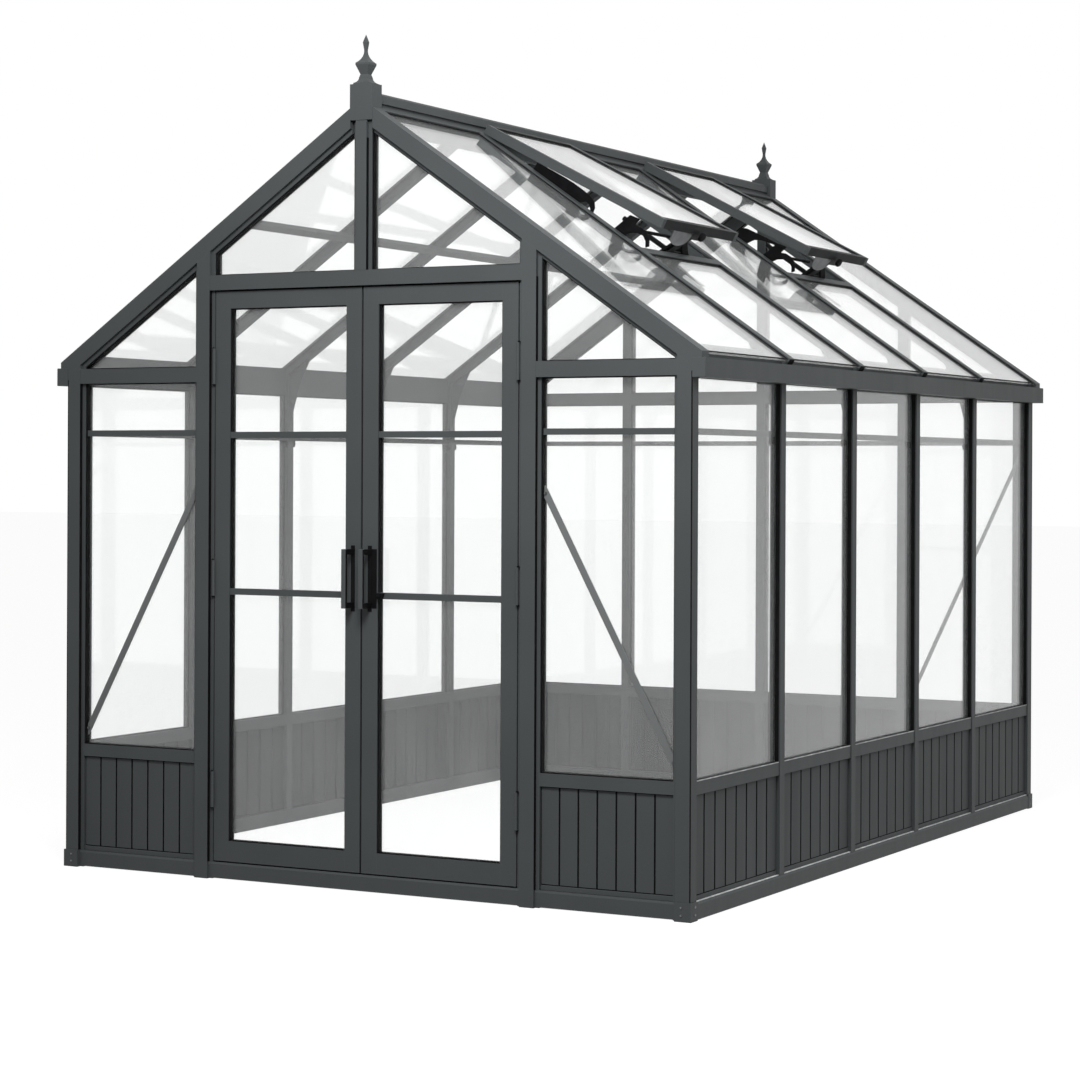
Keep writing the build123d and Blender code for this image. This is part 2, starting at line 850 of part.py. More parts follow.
with BuildPart() as knee_gussets:
    knee_x = side - bar_depth
    knee_low = (knee_x, eave_rail_bottom - knee_drop)
    knee_high = (knee_x - knee_reach, roof_height(knee_x - knee_reach, roof_bar_depth))
    knee_slope = atan2(knee_high[1] - knee_low[1], knee_x - knee_high[0])
    knee_middle = (
        (knee_low[0] + knee_high[0]) / 2 + knee_hollow * sin(knee_slope),
        (knee_low[1] + knee_high[1]) / 2 + knee_hollow * cos(knee_slope),
    )
    with BuildSketch(*[Plane.XZ.offset(y) for y in post_ys]):
        with BuildLine():
            Polyline(knee_low, (knee_x, roof_height(knee_x, roof_bar_depth)), knee_high)
            ThreePointArc(knee_high, knee_middle, knee_low)
        make_face()
    extrude(amount=knee_thickness / 2, both=True)
    mirror(about=Plane.YZ)
save(knee_gussets, "knee_gussets")

with BuildPart() as braces:
    # a gable's braces are let in between the flanges, on the outside of the glass
    with BuildSketch(gable_plane(gable_glass_inset - glass_play)):
        flat_bar(outer_flange, gable_brace_top, corner_flange, gable_brace_foot)
        with Locations(((outer_flange + corner_flange) / 2, (gable_brace_top + gable_brace_foot) / 2)):
            Rectangle(
                corner_flange - outer_flange,
                gable_brace_top - gable_brace_foot + brace_width,
                mode=Mode.INTERSECT,
            )
    extrude(amount=brace_thickness)
    mirror(about=Plane.YZ)
    with BuildSketch(Plane.YZ.offset(side - bar_depth - brace_thickness)):
        flat_bar(post_ys[2], side_brace_foot, -front, side_brace_top)
    extrude(amount=brace_thickness)
    split(bisect_by=Plane.XZ.offset(front + gable_depth), keep=Keep.TOP)
save(braces, "braces")

# ---- doors --------------------------------------------------------------------------------------

leaf_bottom = base_rail_height + door_gap
leaf_top = door_head_bottom - door_gap
leaf_outer = door_opening - door_gap
leaf_inner = meeting_gap / 2
leaf_face = front + gable_face_step
leaf_glass = leaf_face + leaf_glass_inset
hinge_x = door_opening - door_gap / 2
hinge_y = leaf_face - hinge_radius - hinge_knuckle_gap
hinge_leaf_edge = hinge_radius + hinge_knuckle_gap


def leaf_piece(x_side, x0, x1, y0, y1, z0, z1, mode=Mode.ADD):
    """A block of a door leaf, given for the right-hand leaf and placed on either side."""
    block(x_side * x0, x_side * x1, y0, y1, z0, z1, mode=mode)


for name, x_side in (("left_door", -1), ("right_door", 1)):
    inner_edge = leaf_inner + stile_width
    outer_edge = leaf_outer - stile_width
    slot_y = (leaf_glass - glass_play, leaf_glass + glass + glass_play)
    with BuildPart() as stiles:
        for x0, x1 in ((leaf_inner, inner_edge), (outer_edge, leaf_outer)):
            leaf_piece(x_side, x0, x1, leaf_face, leaf_face + leaf_depth, leaf_bottom, leaf_top)
        leaf_piece(
            x_side,
            inner_edge - glass_bite,
            outer_edge + glass_bite,
            *slot_y,
            leaf_bottom + leaf_bottom_rail - glass_bite,
            leaf_top - leaf_top_rail + glass_bite,
            mode=Mode.SUBTRACT,
        )
    save(stiles, f"{name}_stiles")

    with BuildPart() as rails:
        rail_rows = ((leaf_bottom, leaf_bottom + leaf_bottom_rail), (leaf_top - leaf_top_rail, leaf_top))
        for z0, z1 in rail_rows:
            leaf_piece(x_side, inner_edge, outer_edge, leaf_face, leaf_face + leaf_depth, z0, z1)
        leaf_piece(
            x_side,
            inner_edge,
            outer_edge,
            *slot_y,
            leaf_bottom + leaf_bottom_rail - glass_bite,
            leaf_top - leaf_top_rail + glass_bite,
            mode=Mode.SUBTRACT,
        )
        for z0 in (leaf_mid_bar_bottom, leaf_upper_bar_bottom):
            bar_face_y = leaf_face + leaf_bar_set_back
            leaf_piece(
                x_side, inner_edge, outer_edge, bar_face_y, leaf_glass - glass_play, z0, z0 + leaf_bar_height
            )
    save(rails, f"{name}_rails")

    with BuildPart() as pane:
        leaf_piece(
            x_side,
            inner_edge - reach,
            outer_edge + reach,
            leaf_glass,
            leaf_glass + glass,
            leaf_bottom + leaf_bottom_rail - reach,
            leaf_top - leaf_top_rail + reach,
        )
    save(pane, f"{name}_glass")

    with BuildPart() as handle:
        with BuildSketch(Plane.YZ.offset(x_side * (leaf_inner + stile_width / 2))):
            with Locations((leaf_face, handle_bottom)):
                Rectangle(handle_reach, handle_height, align=(Align.MAX, Align.MIN))
            with Locations((leaf_face, handle_bottom + handle_arm_height)):
                Rectangle(
                    handle_reach - handle_bar_depth,
                    handle_height - 2 * handle_arm_height,
                    align=(Align.MAX, Align.MIN),
                    mode=Mode.SUBTRACT,
                )
        extrude(amount=handle_bar_width / 2, both=True)
        fillet(handle.edges().filter_by(Axis.X).sort_by(Axis.Y)[:2], handle_bar_depth / 4)
    save(handle, f"{name}_handle")

    with BuildPart() as leaf_hinges:
        for height in hinge_heights:
            knuckle = hinge_height / 3 - hinge_knuckle_gap
            with Locations((x_side * hinge_x, hinge_y, height)):
                Cylinder(hinge_radius, knuckle)
            leaf_piece(
                x_side,
                leaf_outer,
                leaf_outer + hinge_plate,
                hinge_y,
                leaf_face + hinge_plate_reach,
                height - knuckle / 2,
                height + knuckle / 2,
            )
            leaf_piece(
                x_side,
                leaf_outer,
                leaf_outer + hinge_plate,
                hinge_y + hinge_leaf_edge,
                leaf_face + hinge_plate_reach,
                height - hinge_height / 2,
                height + hinge_height / 2,
            )
            with Locations((x_side * hinge_x, hinge_y, height)):
                Cylinder(hinge_pin_radius + hinge_pin_play, hinge_height, mode=Mode.SUBTRACT)
    save(leaf_hinges, f"{name}_hinges")

with BuildPart() as post_hinges:
    for height in hinge_heights:
        knuckle = hinge_height / 3
        for z in (height - knuckle, height + knuckle):
            with Locations((hinge_x, hinge_y, z)):
                Cylinder(hinge_radius, knuckle)
            block(
                door_opening - hinge_plate,
                door_opening,
                hinge_y,
                leaf_face + hinge_plate_reach,
                z - knuckle / 2,
                z + knuckle / 2,
            )
        block(
            door_opening - hinge_plate,
            door_opening,
            hinge_y + hinge_leaf_edge,
            leaf_face + hinge_plate_reach,
            height - hinge_height / 2,
            height + hinge_height / 2,
        )
        with Locations((hinge_x, hinge_y, height)):
            Cylinder(hinge_pin_radius, hinge_height)
    mirror(about=Plane.YZ)
save(post_hinges, "door_post_hinges")

# ---- roof windows -------------------------------------------------------------------------------

open_pitch = pitch - radians(window_open_angle)
hinge_line = right_slope.origin + right_slope.x_dir * hinge_distance + right_slope.z_dir * window_seat
window_plane = Plane(
    origin=hinge_line,
    x_dir=(cos(open_pitch), 0, -sin(open_pitch)),
    z_dir=(sin(open_pitch), 0, cos(open_pitch)),
)
window_spans = [
    (slope_spans[i][0] - window_side_lap, slope_spans[i][1] + window_side_lap) for i in window_bays
]
window_slot_top = window_frame_depth - window_glass_inset + glass_play

with BuildPart() as window_stiles:
    for y0, y1 in window_spans:
        slope_block(window_plane, 0, window_length, y0, y0 + window_frame_width, 0, window_frame_depth)
        slope_block(window_plane, 0, window_length, y1 - window_frame_width, y1, 0, window_frame_depth)
        slope_block(
            window_plane,
            window_frame_width - glass_bite,
            window_length - window_frame_width + glass_bite,
            y0 + window_frame_width - glass_bite,
            y1 - window_frame_width + glass_bite,
            window_slot_top - slot,
            window_slot_top,
            mode=Mode.SUBTRACT,
        )
save(window_stiles, "window_stiles")

with BuildPart() as window_rails:
    for y0, y1 in window_spans:
        for x0 in (0, window_length - window_frame_width):
            slope_block(
                window_plane,
                x0,
                x0 + window_frame_width,
                y0 + window_frame_width,
                y1 - window_frame_width,
                0,
                window_frame_depth,
            )
        slope_block(
            window_plane,
            window_frame_width - glass_bite,
            window_length - window_frame_width + glass_bite,
            y0 + window_frame_width,
            y1 - window_frame_width,
            window_slot_top - slot,
            window_slot_top,
            mode=Mode.SUBTRACT,
        )
save(window_rails, "window_rails")

with BuildPart() as window_glass:
    for y0, y1 in window_spans:
        slope_block(
            window_plane,
            window_frame_width - reach,
            window_length - window_frame_width + reach,
            y0 + window_frame_width - reach,
            y1 - window_frame_width + reach,
            window_slot_top - glass_play - glass,
            window_slot_top - glass_play,
        )
save(window_glass, "window_glass")

# ---- roof windows' openers ------------------------------------------------------------------------

window_rail_start = window_length - window_frame_width
opener_layer = opening_foot - opening_rail_width - glass_play - 2 * opener_arm_thickness  # down the slope
head_room = window_seat + (opener_layer - hinge_distance) * tan(radians(window_open_angle))
opener_head = head_room - opener_arm_width / 2 - opener_pin_radius
opener_plane = Plane(
    origin=right_slope.origin + right_slope.x_dir * opener_layer,
    x_dir=right_slope.y_dir,
    z_dir=right_slope.x_dir,
)

with BuildPart() as window_openers:
    for y0, y1 in window_spans:
        middle = (y0 + y1) / 2
        for layer, hand in enumerate((-1, 1)):
            with BuildSketch(opener_plane.offset(layer * opener_arm_thickness)):
                flat_bar(
                    middle - hand * opener_foot_half,
                    -opener_foot_depth,
                    middle + hand * opener_head_half,
                    opener_head,
                )
            extrude(amount=opener_arm_thickness)
        # a plate carries the arms' feet and the tube, and the stay runs on below the opening rail
        plate_start = opener_layer - opener_arm_thickness
        stay_top = -roof_bar_depth - glass_play
        slope_block(
            right_slope,
            plate_start,
            opener_layer,
            middle - opener_foot_half,
            middle + opener_foot_half,
            stay_top - opener_arm_thickness,
            0,
        )
        slope_block(
            right_slope,
            plate_start,
            opening_foot + opener_stay_length,
            middle - opener_stay_width / 2,
            middle + opener_stay_width / 2,
            stay_top - opener_arm_thickness,
            stay_top,
        )
        slope_block(
            window_plane,
            window_rail_start + opener_lug_thickness,
            window_rail_start + 2 * opener_lug_thickness,
            middle - opener_head_half - opener_arm_width / 2,
            middle + opener_head_half + opener_arm_width / 2,
            -opener_lug_height,
            0,
        )
        with Locations(opener_plane):
            with Locations(*[(middle + s * opener_head_half, opener_head, 0) for s in (-1, 1)]):
                Cylinder(
                    opener_pin_radius,
                    2 * opener_arm_thickness + 2 * opener_lug_thickness,
                    align=(Align.CENTER, Align.CENTER, Align.MIN),
                )
            with Locations((middle, -opener_foot_depth, 0)):
                Cylinder(
                    opener_tube_radius, opener_tube_length, align=(Align.CENTER, Align.CENTER, Align.MAX)
                )
save(window_openers, "window_openers")
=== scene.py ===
"""Glass greenhouse: finishes, glazing strips, boards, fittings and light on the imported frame."""

from math import cos, pi, radians, sin, tan

import bmesh
import bpy
from mathutils import Matrix, Vector


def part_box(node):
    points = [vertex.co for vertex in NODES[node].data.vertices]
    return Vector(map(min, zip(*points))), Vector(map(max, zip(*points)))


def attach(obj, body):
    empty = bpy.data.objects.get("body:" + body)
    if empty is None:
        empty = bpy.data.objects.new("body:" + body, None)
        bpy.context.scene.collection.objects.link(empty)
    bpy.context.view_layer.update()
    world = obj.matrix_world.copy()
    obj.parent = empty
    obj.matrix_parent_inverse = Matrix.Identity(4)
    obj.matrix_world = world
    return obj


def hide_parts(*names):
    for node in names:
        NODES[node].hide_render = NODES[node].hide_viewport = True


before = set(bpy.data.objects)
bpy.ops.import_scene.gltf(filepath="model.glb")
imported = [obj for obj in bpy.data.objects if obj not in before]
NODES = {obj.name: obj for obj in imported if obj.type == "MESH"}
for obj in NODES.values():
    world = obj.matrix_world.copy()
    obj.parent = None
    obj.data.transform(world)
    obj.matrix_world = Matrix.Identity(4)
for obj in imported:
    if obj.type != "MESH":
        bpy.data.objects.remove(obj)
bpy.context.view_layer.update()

# ---- finishes --------------------------------------------------------------------------


class Wire:
    """One socket of a finish. Sums on it add the nodes that work them out."""

    def __init__(self, finish, socket):
        self.finish = finish
        self.socket = socket

    def sum_by(self, operation, *values):
        inputs = dict(enumerate(values))
        return self.finish.node("ShaderNodeMath", {"operation": operation}, inputs)

    def __add__(self, other):
        return self.sum_by("ADD", self, other)

    def __sub__(self, other):
        return self.sum_by("SUBTRACT", self, other)

    def __rsub__(self, other):
        return self.sum_by("SUBTRACT", other, self)

    def __mul__(self, other):
        return self.sum_by("MULTIPLY", self, other)

    def __pow__(self, other):
        return self.sum_by("POWER", self, other)

    __radd__ = __add__
    __rmul__ = __mul__

    def clamped(self, low, high):
        """0 at low and below, 1 at high and above."""
        return self.finish.node(
            "ShaderNodeMapRange",
            {"clamp": True},
            {"Value": self, "From Min": low, "From Max": high},
        )


class Finish:
    """The nodes of a finish, a light or the sky."""

    def __init__(self, owner):
        owner.use_nodes = True
        self.owner = owner
        self.tree = owner.node_tree
        self.tree.nodes.clear()

    def node(self, kind, settings=None, inputs=None, output=0):
        """Adds a node with its settings and the values or wires of its inputs."""
        made = self.tree.nodes.new(kind)
        for name, value in (settings or {}).items():
            setattr(made, name, value)
        for name, value in (inputs or {}).items():
            if isinstance(value, Wire):
                self.tree.links.new(value.socket, made.inputs[name])
            else:
                made.inputs[name].default_value = value
        return Wire(self, made.outputs[output]) if made.outputs else None

    def place(self, stretch):
        """Object coordinates in metres, stretched along the axes."""
        spot = self.node("ShaderNodeTexCoord", output="Object")
        return self.node("ShaderNodeMapping", None, {"Vector": spot, "Scale": stretch})

    def noise(self, size, detail, stretch=(1, 1, 1), rough=0.5):
        """Noise round 0.5 with lumps of about this size in metres."""
        return self.node(
            "ShaderNodeTexNoise",
            None,
            {
                "Vector": self.place(stretch),
                "Scale": 1 / size,
                "Detail": detail,
                "Roughness": rough,
            },
        )

    def height(self):
        """Height above the ground in metres."""
        spot = self.node("ShaderNodeTexCoord", output="Object")
        return self.node("ShaderNodeSeparateXYZ", None, {"Vector": spot}, "Z")

    def blend(self, share, first, second):
        """A colour between two colours."""
        return self.node(
            "ShaderNodeMix", {"data_type": "RGBA"}, {0: share, 6: first, 7: second}, 2
        )

    def bump(self, relief, distance, strength):
        """A relief this deep in metres."""
        return self.node(
            "ShaderNodeBump", None, {"Height": relief, "Distance": distance, "Strength": strength}
        )

    def edges(self, radius):
        """1 on edges and 0 on flat faces."""
        smooth = self.node("ShaderNodeBevel", {"samples": 4}, {"Radius": radius})
        true = self.node("ShaderNodeNewGeometry", output="True Normal")
        match = self.node(
            "ShaderNodeVectorMath", {"operation": "DOT_PRODUCT"}, {0: smooth, 1: true}, "Value"
        )
        return (1 - match).clamped(0.02, 0.2)

    def surface(self, shader):
        """Ends the nodes in their output, and gives back what they finish."""
        kind = "World" if isinstance(self.owner, bpy.types.World) else "Material"
        self.node("ShaderNodeOutput" + kind, None, {"Surface": shader})
        return self.owner


def colour(red, green, blue, times=1.0):
    """An opaque colour, made lighter or darker."""
    return (red * times, green * times, blue * times, 1.0)


SOIL_TONE = colour(0.115, 0.112, 0.104)
SOIL_HEIGHT = 0.16  # how high the ground's dust climbs
SOIL_SHARE = 0.09
EDGE_WEAR_AND_HIGHLIGHT_WIDTH = 0.0016
EDGE_WEAR_AND_HIGHLIGHT_SHARE = 0.26


def powder_coat(name, tone, rough=0.5, dust=1.0, shine=0.14):
    """Powder paint: a fine grain, faint clouding, dust near the ground, and edges paler from wear
    and a painted highlight.
    """
    coat = Finish(bpy.data.materials.new(name))
    clouds = coat.noise(0.35, 3.0)
    runs = coat.noise(0.05, 3.0, (1, 1, 0.06))
    grain = coat.noise(0.0011, 1.0)
    speckle = coat.noise(0.006, 2.0)
    low = 1 - coat.height().clamped(0.0, SOIL_HEIGHT)
    streaks = 0.25 + 0.75 * runs.clamped(0.42, 0.66)
    soil = (low * low * streaks * dust * SOIL_SHARE).clamped(0, 1)
    tint = coat.blend(clouds.clamped(0.3, 0.7), colour(*tone, 0.94), colour(*tone, 1.06))
    tint = coat.blend(speckle.clamped(0.58, 0.75) * 0.10, tint, colour(*tone, 1.5))
    tint = coat.blend(soil, tint, SOIL_TONE)
    # every edge is made paler: partly wear, partly a painted highlight
    tint = coat.blend(coat.edges(EDGE_WEAR_AND_HIGHLIGHT_WIDTH) * EDGE_WEAR_AND_HIGHLIGHT_SHARE, tint, colour(*tone, 1.9))
    return coat.surface(
        coat.node(
            "ShaderNodeBsdfPrincipled",
            None,
            {
                "Base Color": tint,
                "Roughness": rough + 0.14 * (runs - 0.5) + 0.2 * soil + 0.06 * (speckle - 0.5),
                "Normal": coat.bump(grain, 0.00012, 0.5),
                "Specular IOR Level": shine,
            },
        )
    )


def bare_metal(name, tone):
    """Zinc-plated steel, brushed and a little stained."""
    metal = Finish(bpy.data.materials.new(name))
    clouds = metal.noise(0.04, 3.0)
    brush = metal.noise(0.0016, 2.0, (1, 1, 0.1))
    tint = metal.blend(clouds.clamped(0.35, 0.7), colour(*tone), colour(*tone, 0.72))
    return metal.surface(
        metal.node(
            "ShaderNodeBsdfPrincipled",
            None,
            {
                "Base Color": tint,
                "Metallic": 0.85,
                "Roughness": 0.38 + 0.2 * (clouds - 0.5) + 0.08 * (brush - 0.5),
                "Normal": metal.bump(brush, 0.00006, 0.4),
            },
        )
    )


def rubber(name, tone):
    """Rubber, moulded nylon, and the strips that paint shade and highlights: fine pores and a
    chalky bloom.
    """
    strip = Finish(bpy.data.materials.new(name))
    pores = strip.noise(0.0009, 2.0)
    bloom = strip.noise(0.03, 3.0)
    tint = strip.blend(bloom.clamped(0.4, 0.75), colour(*tone), colour(*tone, 1.7))
    return strip.surface(
        strip.node(
            "ShaderNodeBsdfPrincipled",
            None,
            {
                "Base Color": tint,
                "Roughness": 0.62 + 0.2 * (bloom - 0.5),
                "Normal": strip.bump(pores, 0.00015, 0.5),
                "Specular IOR Level": 0.08,
            },
        )
    )


DUST_TONE = colour(0.86, 0.87, 0.87)
DUST_VEIL = 0.036  # share of each face of a pane
DUST_FILM = 0.012  # what patches add to it, and once more near a pane's foot
STRAIGHT_MIRROR = 0.04  # share that a pane mirrors when it is seen straight on


def sheet_glass(name):
    """Clear horticultural glass: it mirrors more as it turns away, and carries a film of dust."""
    pane = Finish(bpy.data.materials.new(name))
    ripple = pane.noise(0.35, 1.0)
    film = pane.noise(0.12, 4.0, (1, 1, 0.35), 0.6).clamped(0.4, 0.85)
    low = 1 - pane.height().clamped(0.42, 0.75)
    turned = pane.node("ShaderNodeLayerWeight", None, {"Blend": 0.5}, "Facing")
    mirror = STRAIGHT_MIRROR + (1 - STRAIGHT_MIRROR) * turned**5
    wave = pane.bump(ripple, 0.0006, 0.35)
    clear = pane.node("ShaderNodeBsdfTransparent", None, {"Color": colour(0.994, 0.998, 0.996)})
    shine = pane.node(
        "ShaderNodeBsdfGlossy", None, {"Color": colour(1, 1, 1), "Roughness": 0.03, "Normal": wave}
    )
    lit_dust = pane.node("ShaderNodeBsdfDiffuse", None, {"Color": DUST_TONE})
    through_dust = pane.node("ShaderNodeBsdfTranslucent", None, {"Color": DUST_TONE})
    dust = pane.node("ShaderNodeAddShader", None, {0: lit_dust, 1: through_dust})
    glass = pane.node("ShaderNodeMixShader", None, {0: mirror, 1: clear, 2: shine})
    veil = DUST_VEIL + film * DUST_FILM + low * film * DUST_FILM
    return pane.surface(pane.node("ShaderNodeMixShader", None, {0: veil, 1: glass, 2: dust}))


clear_glass = sheet_glass("horticultural glass")
frame_paint = powder_coat("anthracite powder coat", (0.067, 0.0735, 0.0755))
board_paint = powder_coat(
    "skirting board coat", (0.066, 0.072, 0.074), rough=0.58, dust=1.2, shine=0.15
)
lining_paint = powder_coat(
    "skirting lining coat", (0.026, 0.029, 0.030), rough=0.6, shine=0.15
)
# the window rails are coated near black: painted shade for faces that turn away from the light
shaded_window_rail_paint = powder_coat(
    "shaded window rail coat", (0.013, 0.014, 0.015), dust=0.5, shine=0.08
)
brace_paint = powder_coat("brace coat", (0.155, 0.162, 0.163), dust=0.5)
dark_paint = powder_coat(
    "window fittings coat", (0.006, 0.0065, 0.007), rough=0.45, dust=0.2, shine=0.12
)
pull_paint = powder_coat(
    "handle coat", (0.070, 0.076, 0.078), rough=0.42, dust=0.4, shine=0.2
)
# black rubber for gaskets and seals, also used for the black strips and faces that paint shade
black_rubber_and_shade = rubber("black rubber and painted shade", (0.0045, 0.0045, 0.005))
# black nylon for fittings, also used for the pull's sides and the plate that paint shade
black_nylon_and_shade = rubber("black nylon and painted shade", (0.0045, 0.0045, 0.005))
# a pale finish for strips that paint the highlight along the rail and sill ledges
highlight_strip_paint = rubber("pale strip of painted highlight", (0.52, 0.53, 0.53))
zinc = bare_metal("zinc plated steel", (0.20, 0.205, 0.21))

COATS = {"braces": brace_paint, "window_openers": dark_paint, "window_rails": shaded_window_rail_paint}
COATS_BY_ENDING = {"glass": clear_glass, "skirting": board_paint, "handle": pull_paint}
for node_name, node in NODES.items():
    ending = node_name.split("_")[-1]
    coat = COATS.get(node_name) or COATS_BY_ENDING.get(ending, frame_paint)
    for place in node.material_slots:
        place.material = coat

# ---- making pieces ---------------------------------------------------------------------


def keep(name, mesh, finish, body="frame", replaced=(), second=None):
    """Turns a mesh into a piece that rides on a body, and shows in place of CAD nodes if any."""
    data = bpy.data.meshes.new(name)
    mesh.to_mesh(data)
    mesh.free()
    data.materials.append(finish)
    if second:
        data.materials.append(second)  # faces with material index 1
    piece = bpy.data.objects.new(name, data)
    bpy.context.scene.collection.objects.link(piece)
    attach(piece, body)
    if replaced:
        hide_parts(*replaced)


def join(mesh, part):
    """Adds a part to a mesh and frees it."""
    data = bpy.data.meshes.new("part")
    part.to_mesh(data)
    part.free()
    mesh.from_mesh(data)
    bpy.data.meshes.remove(data)


def round_edges(part, width, steps):
    """Rounds all the edges of a part."""
    bmesh.ops.bevel(
        part,
        geom=part.edges[:],
        offset=width,
        segments=steps,
        profile=0.5,
        affect="EDGES",
        material=-1,
    )


def block(low, high, bevel=0.0, steps=2):
    """A box between two corners, with its edges rounded."""
    part = bmesh.new()
    size = Vector(high) - Vector(low)
    centre = (Vector(high) + Vector(low)) / 2
    lie = Matrix.Translation(centre) @ Matrix.Diagonal((*size, 1))
    bmesh.ops.create_cube(part, size=1, matrix=lie)
    if bevel:
        round_edges(part, bevel, steps)
    return part


def block_between(x_ends, y_ends, z_ends, bevel, steps=2):
    """A rounded box from the two ends of each side, in any order."""
    low, high = zip(sorted(x_ends), sorted(y_ends), sorted(z_ends))
    return block(low, high, bevel, steps)


def standing(place, axis):
    """Turns a part's z axis this way and sets it at a place."""
    turn = Vector(axis).to_track_quat("Z", "Y").to_matrix().to_4x4()
    return Matrix.Translation(place) @ turn


def bolt(mesh, place, axis, radius=0.005, height=0.003):
    """Adds a bolt head with a socket in its top."""
    part = bmesh.new()
    axis = Vector(axis).normalized()
    bmesh.ops.create_cone(
        part,
        cap_ends=True,
        cap_tris=False,
        segments=12,
        radius1=radius,
        radius2=radius * 0.8,
        depth=height,
        matrix=standing(Vector(place) + axis * height / 2, axis),
    )
    part.normal_update()
    top = max(part.faces, key=lambda face: face.calc_center_median().dot(axis) * len(face.verts))
    bmesh.ops.inset_individual(part, faces=[top], thickness=radius * 0.35, use_even_offset=True)
    bmesh.ops.translate(part, verts=top.verts[:], vec=-axis * height * 0.5)
    join(mesh, part)


def turned(mesh, outline, place, axis, steps):
    """Adds a turned part: its outline of radius and height is spun round its axis."""
    part = bmesh.new()
    points = [part.verts.new((radius, 0, height)) for radius, height in outline]
    lines = [part.edges.new(pair) for pair in zip(points, points[1:])]
    bmesh.ops.spin(
        part,
        geom=points + lines,
        cent=(0, 0, 0),
        axis=(0, 0, 1),
        angle=2 * pi,
        steps=steps,
        use_merge=True,
    )
    bmesh.ops.remove_doubles(part, verts=part.verts[:], dist=1e-6)
    bmesh.ops.recalc_face_normals(part, faces=part.faces[:])
    laid(mesh, part, standing(place, axis))


def laid(mesh, part, matrix):
    """Adds a part after it is moved by a matrix."""
    bmesh.ops.transform(part, matrix=matrix, verts=part.verts[:])
    join(mesh, part)


def loose_solids(node_name):
    """Each closed solid of a CAD node as a merged mesh with its flat faces whole."""
    whole = bmesh.new()
    whole.from_mesh(NODES[node_name].data)
    bmesh.ops.remove_doubles(whole, verts=whole.verts[:], dist=1e-5)
    bmesh.ops.dissolve_limit(
        whole, angle_limit=radians(0.5), verts=whole.verts[:], edges=whole.edges[:]
    )
    seen = set()
    solids = []
    for first in whole.faces:
        if first in seen:
            continue
        seen.add(first)
        group = [first]
        for face in group:  # it grows by the neighbours of each of its faces
            for edge in face.edges:
                for other in edge.link_faces:
                    if other not in seen:
                        seen.add(other)
                        group.append(other)
        solid = bmesh.new()
        made = {}
        for face in group:
            corners = []
            for vert in face.verts:
                if vert not in made:
                    made[vert] = solid.verts.new(vert.co)
                corners.append(made[vert])
            solid.faces.new(corners)
        solid.normal_update()
        solids.append(solid)
    whole.free()
    return solids


# ---- glazing strips --------------------------------------------------------------------

SLOT_BITE = 0.007  # how far the sheets go into their slots
WALL_STRIP = 0.0035  # widths of the strips
ROOF_STRIP = 0.003
INSIDE = Vector((0, 0, 1.1))


def broad_faces(solid):
    """The two broad faces of a sheet, the outer one first."""
    faces = sorted(solid.faces, key=lambda face: -face.calc_area())[:2]
    return sorted(faces, key=lambda face: -(face.calc_center_median() - INSIDE).dot(face.normal))


def thicken(part, faces, depth):
    """Makes flat faces a closed solid of this depth."""
    grown = bmesh.ops.extrude_face_region(part, geom=faces, use_keep_orig=True)["geom"]
    tops = [item for item in grown if isinstance(item, bmesh.types.BMVert)]
    bmesh.ops.translate(part, verts=tops, vec=depth)
    bmesh.ops.recalc_face_normals(part, faces=part.faces[:])


def rim(face, width, height):
    """A strip that stands on a sheet along its outline, where the sheet leaves its slot."""
    strip = bmesh.new()
    normal = face.normal.copy()
    corners = [strip.verts.new(vert.co) for vert in face.verts]
    sheet = strip.faces.new(corners)
    strip.normal_update()
    bmesh.ops.inset_individual(strip, faces=[sheet], thickness=SLOT_BITE, use_even_offset=True)
    outer = [other for other in strip.faces if other is not sheet]
    bmesh.ops.delete(strip, geom=outer, context="FACES")
    inner = bmesh.ops.inset_individual(
        strip, faces=[sheet], thickness=width, use_even_offset=True
    )
    bmesh.ops.delete(strip, geom=[sheet], context="FACES_ONLY")
    thicken(strip, inner["faces"], normal * height)
    return strip


def glaze(node_name, body, width, outside, inside):
    """Rubber strips round every sheet of a glass node, with their heights outside and inside."""
    mesh = bmesh.new()
    for solid in loose_solids(node_name):
        for face, height in zip(broad_faces(solid), (outside, inside)):
            join(mesh, rim(face, width, height))
        solid.free()
    keep(node_name.replace("glass", "gaskets"), mesh, black_rubber_and_shade, body)


for wall in ("front", "back"):
    glaze(wall + "_glass", "frame", WALL_STRIP, 0.018, 0.003)
for wall in ("left", "right"):
    glaze(wall + "_glass", "frame", WALL_STRIP, 0.013, 0.003)
    glaze(wall + "_roof_glass", "frame", ROOF_STRIP, 0.003, 0.002)
    glaze(wall + "_door_glass", wall + "_door", WALL_STRIP, 0.016, 0.004)
glaze("window_glass", "frame", ROOF_STRIP, 0.003, 0.002)

# ---- board skirting --------------------------------------------------------------------

GABLE_PITCH = 0.066
SIDE_PITCH = 0.079
GABLE_GAP = 0.006  # between two boards
SIDE_GAP = 0.009
BOARD_DEPTH = 0.004
BOARD_ROUND = 0.0008
PANEL_GAP = 0.003  # between a panel's boards and the rails and posts round it
FOOT_TRIM = 0.016
TRIM_PROUD = 0.002
TRIM_PLAY = 0.0005


def box_corners(solid):
    """The two corners of the box round a solid."""
    sides = list(zip(*(vert.co for vert in solid.verts)))
    return Vector([min(side) for side in sides]), Vector([max(side) for side in sides])


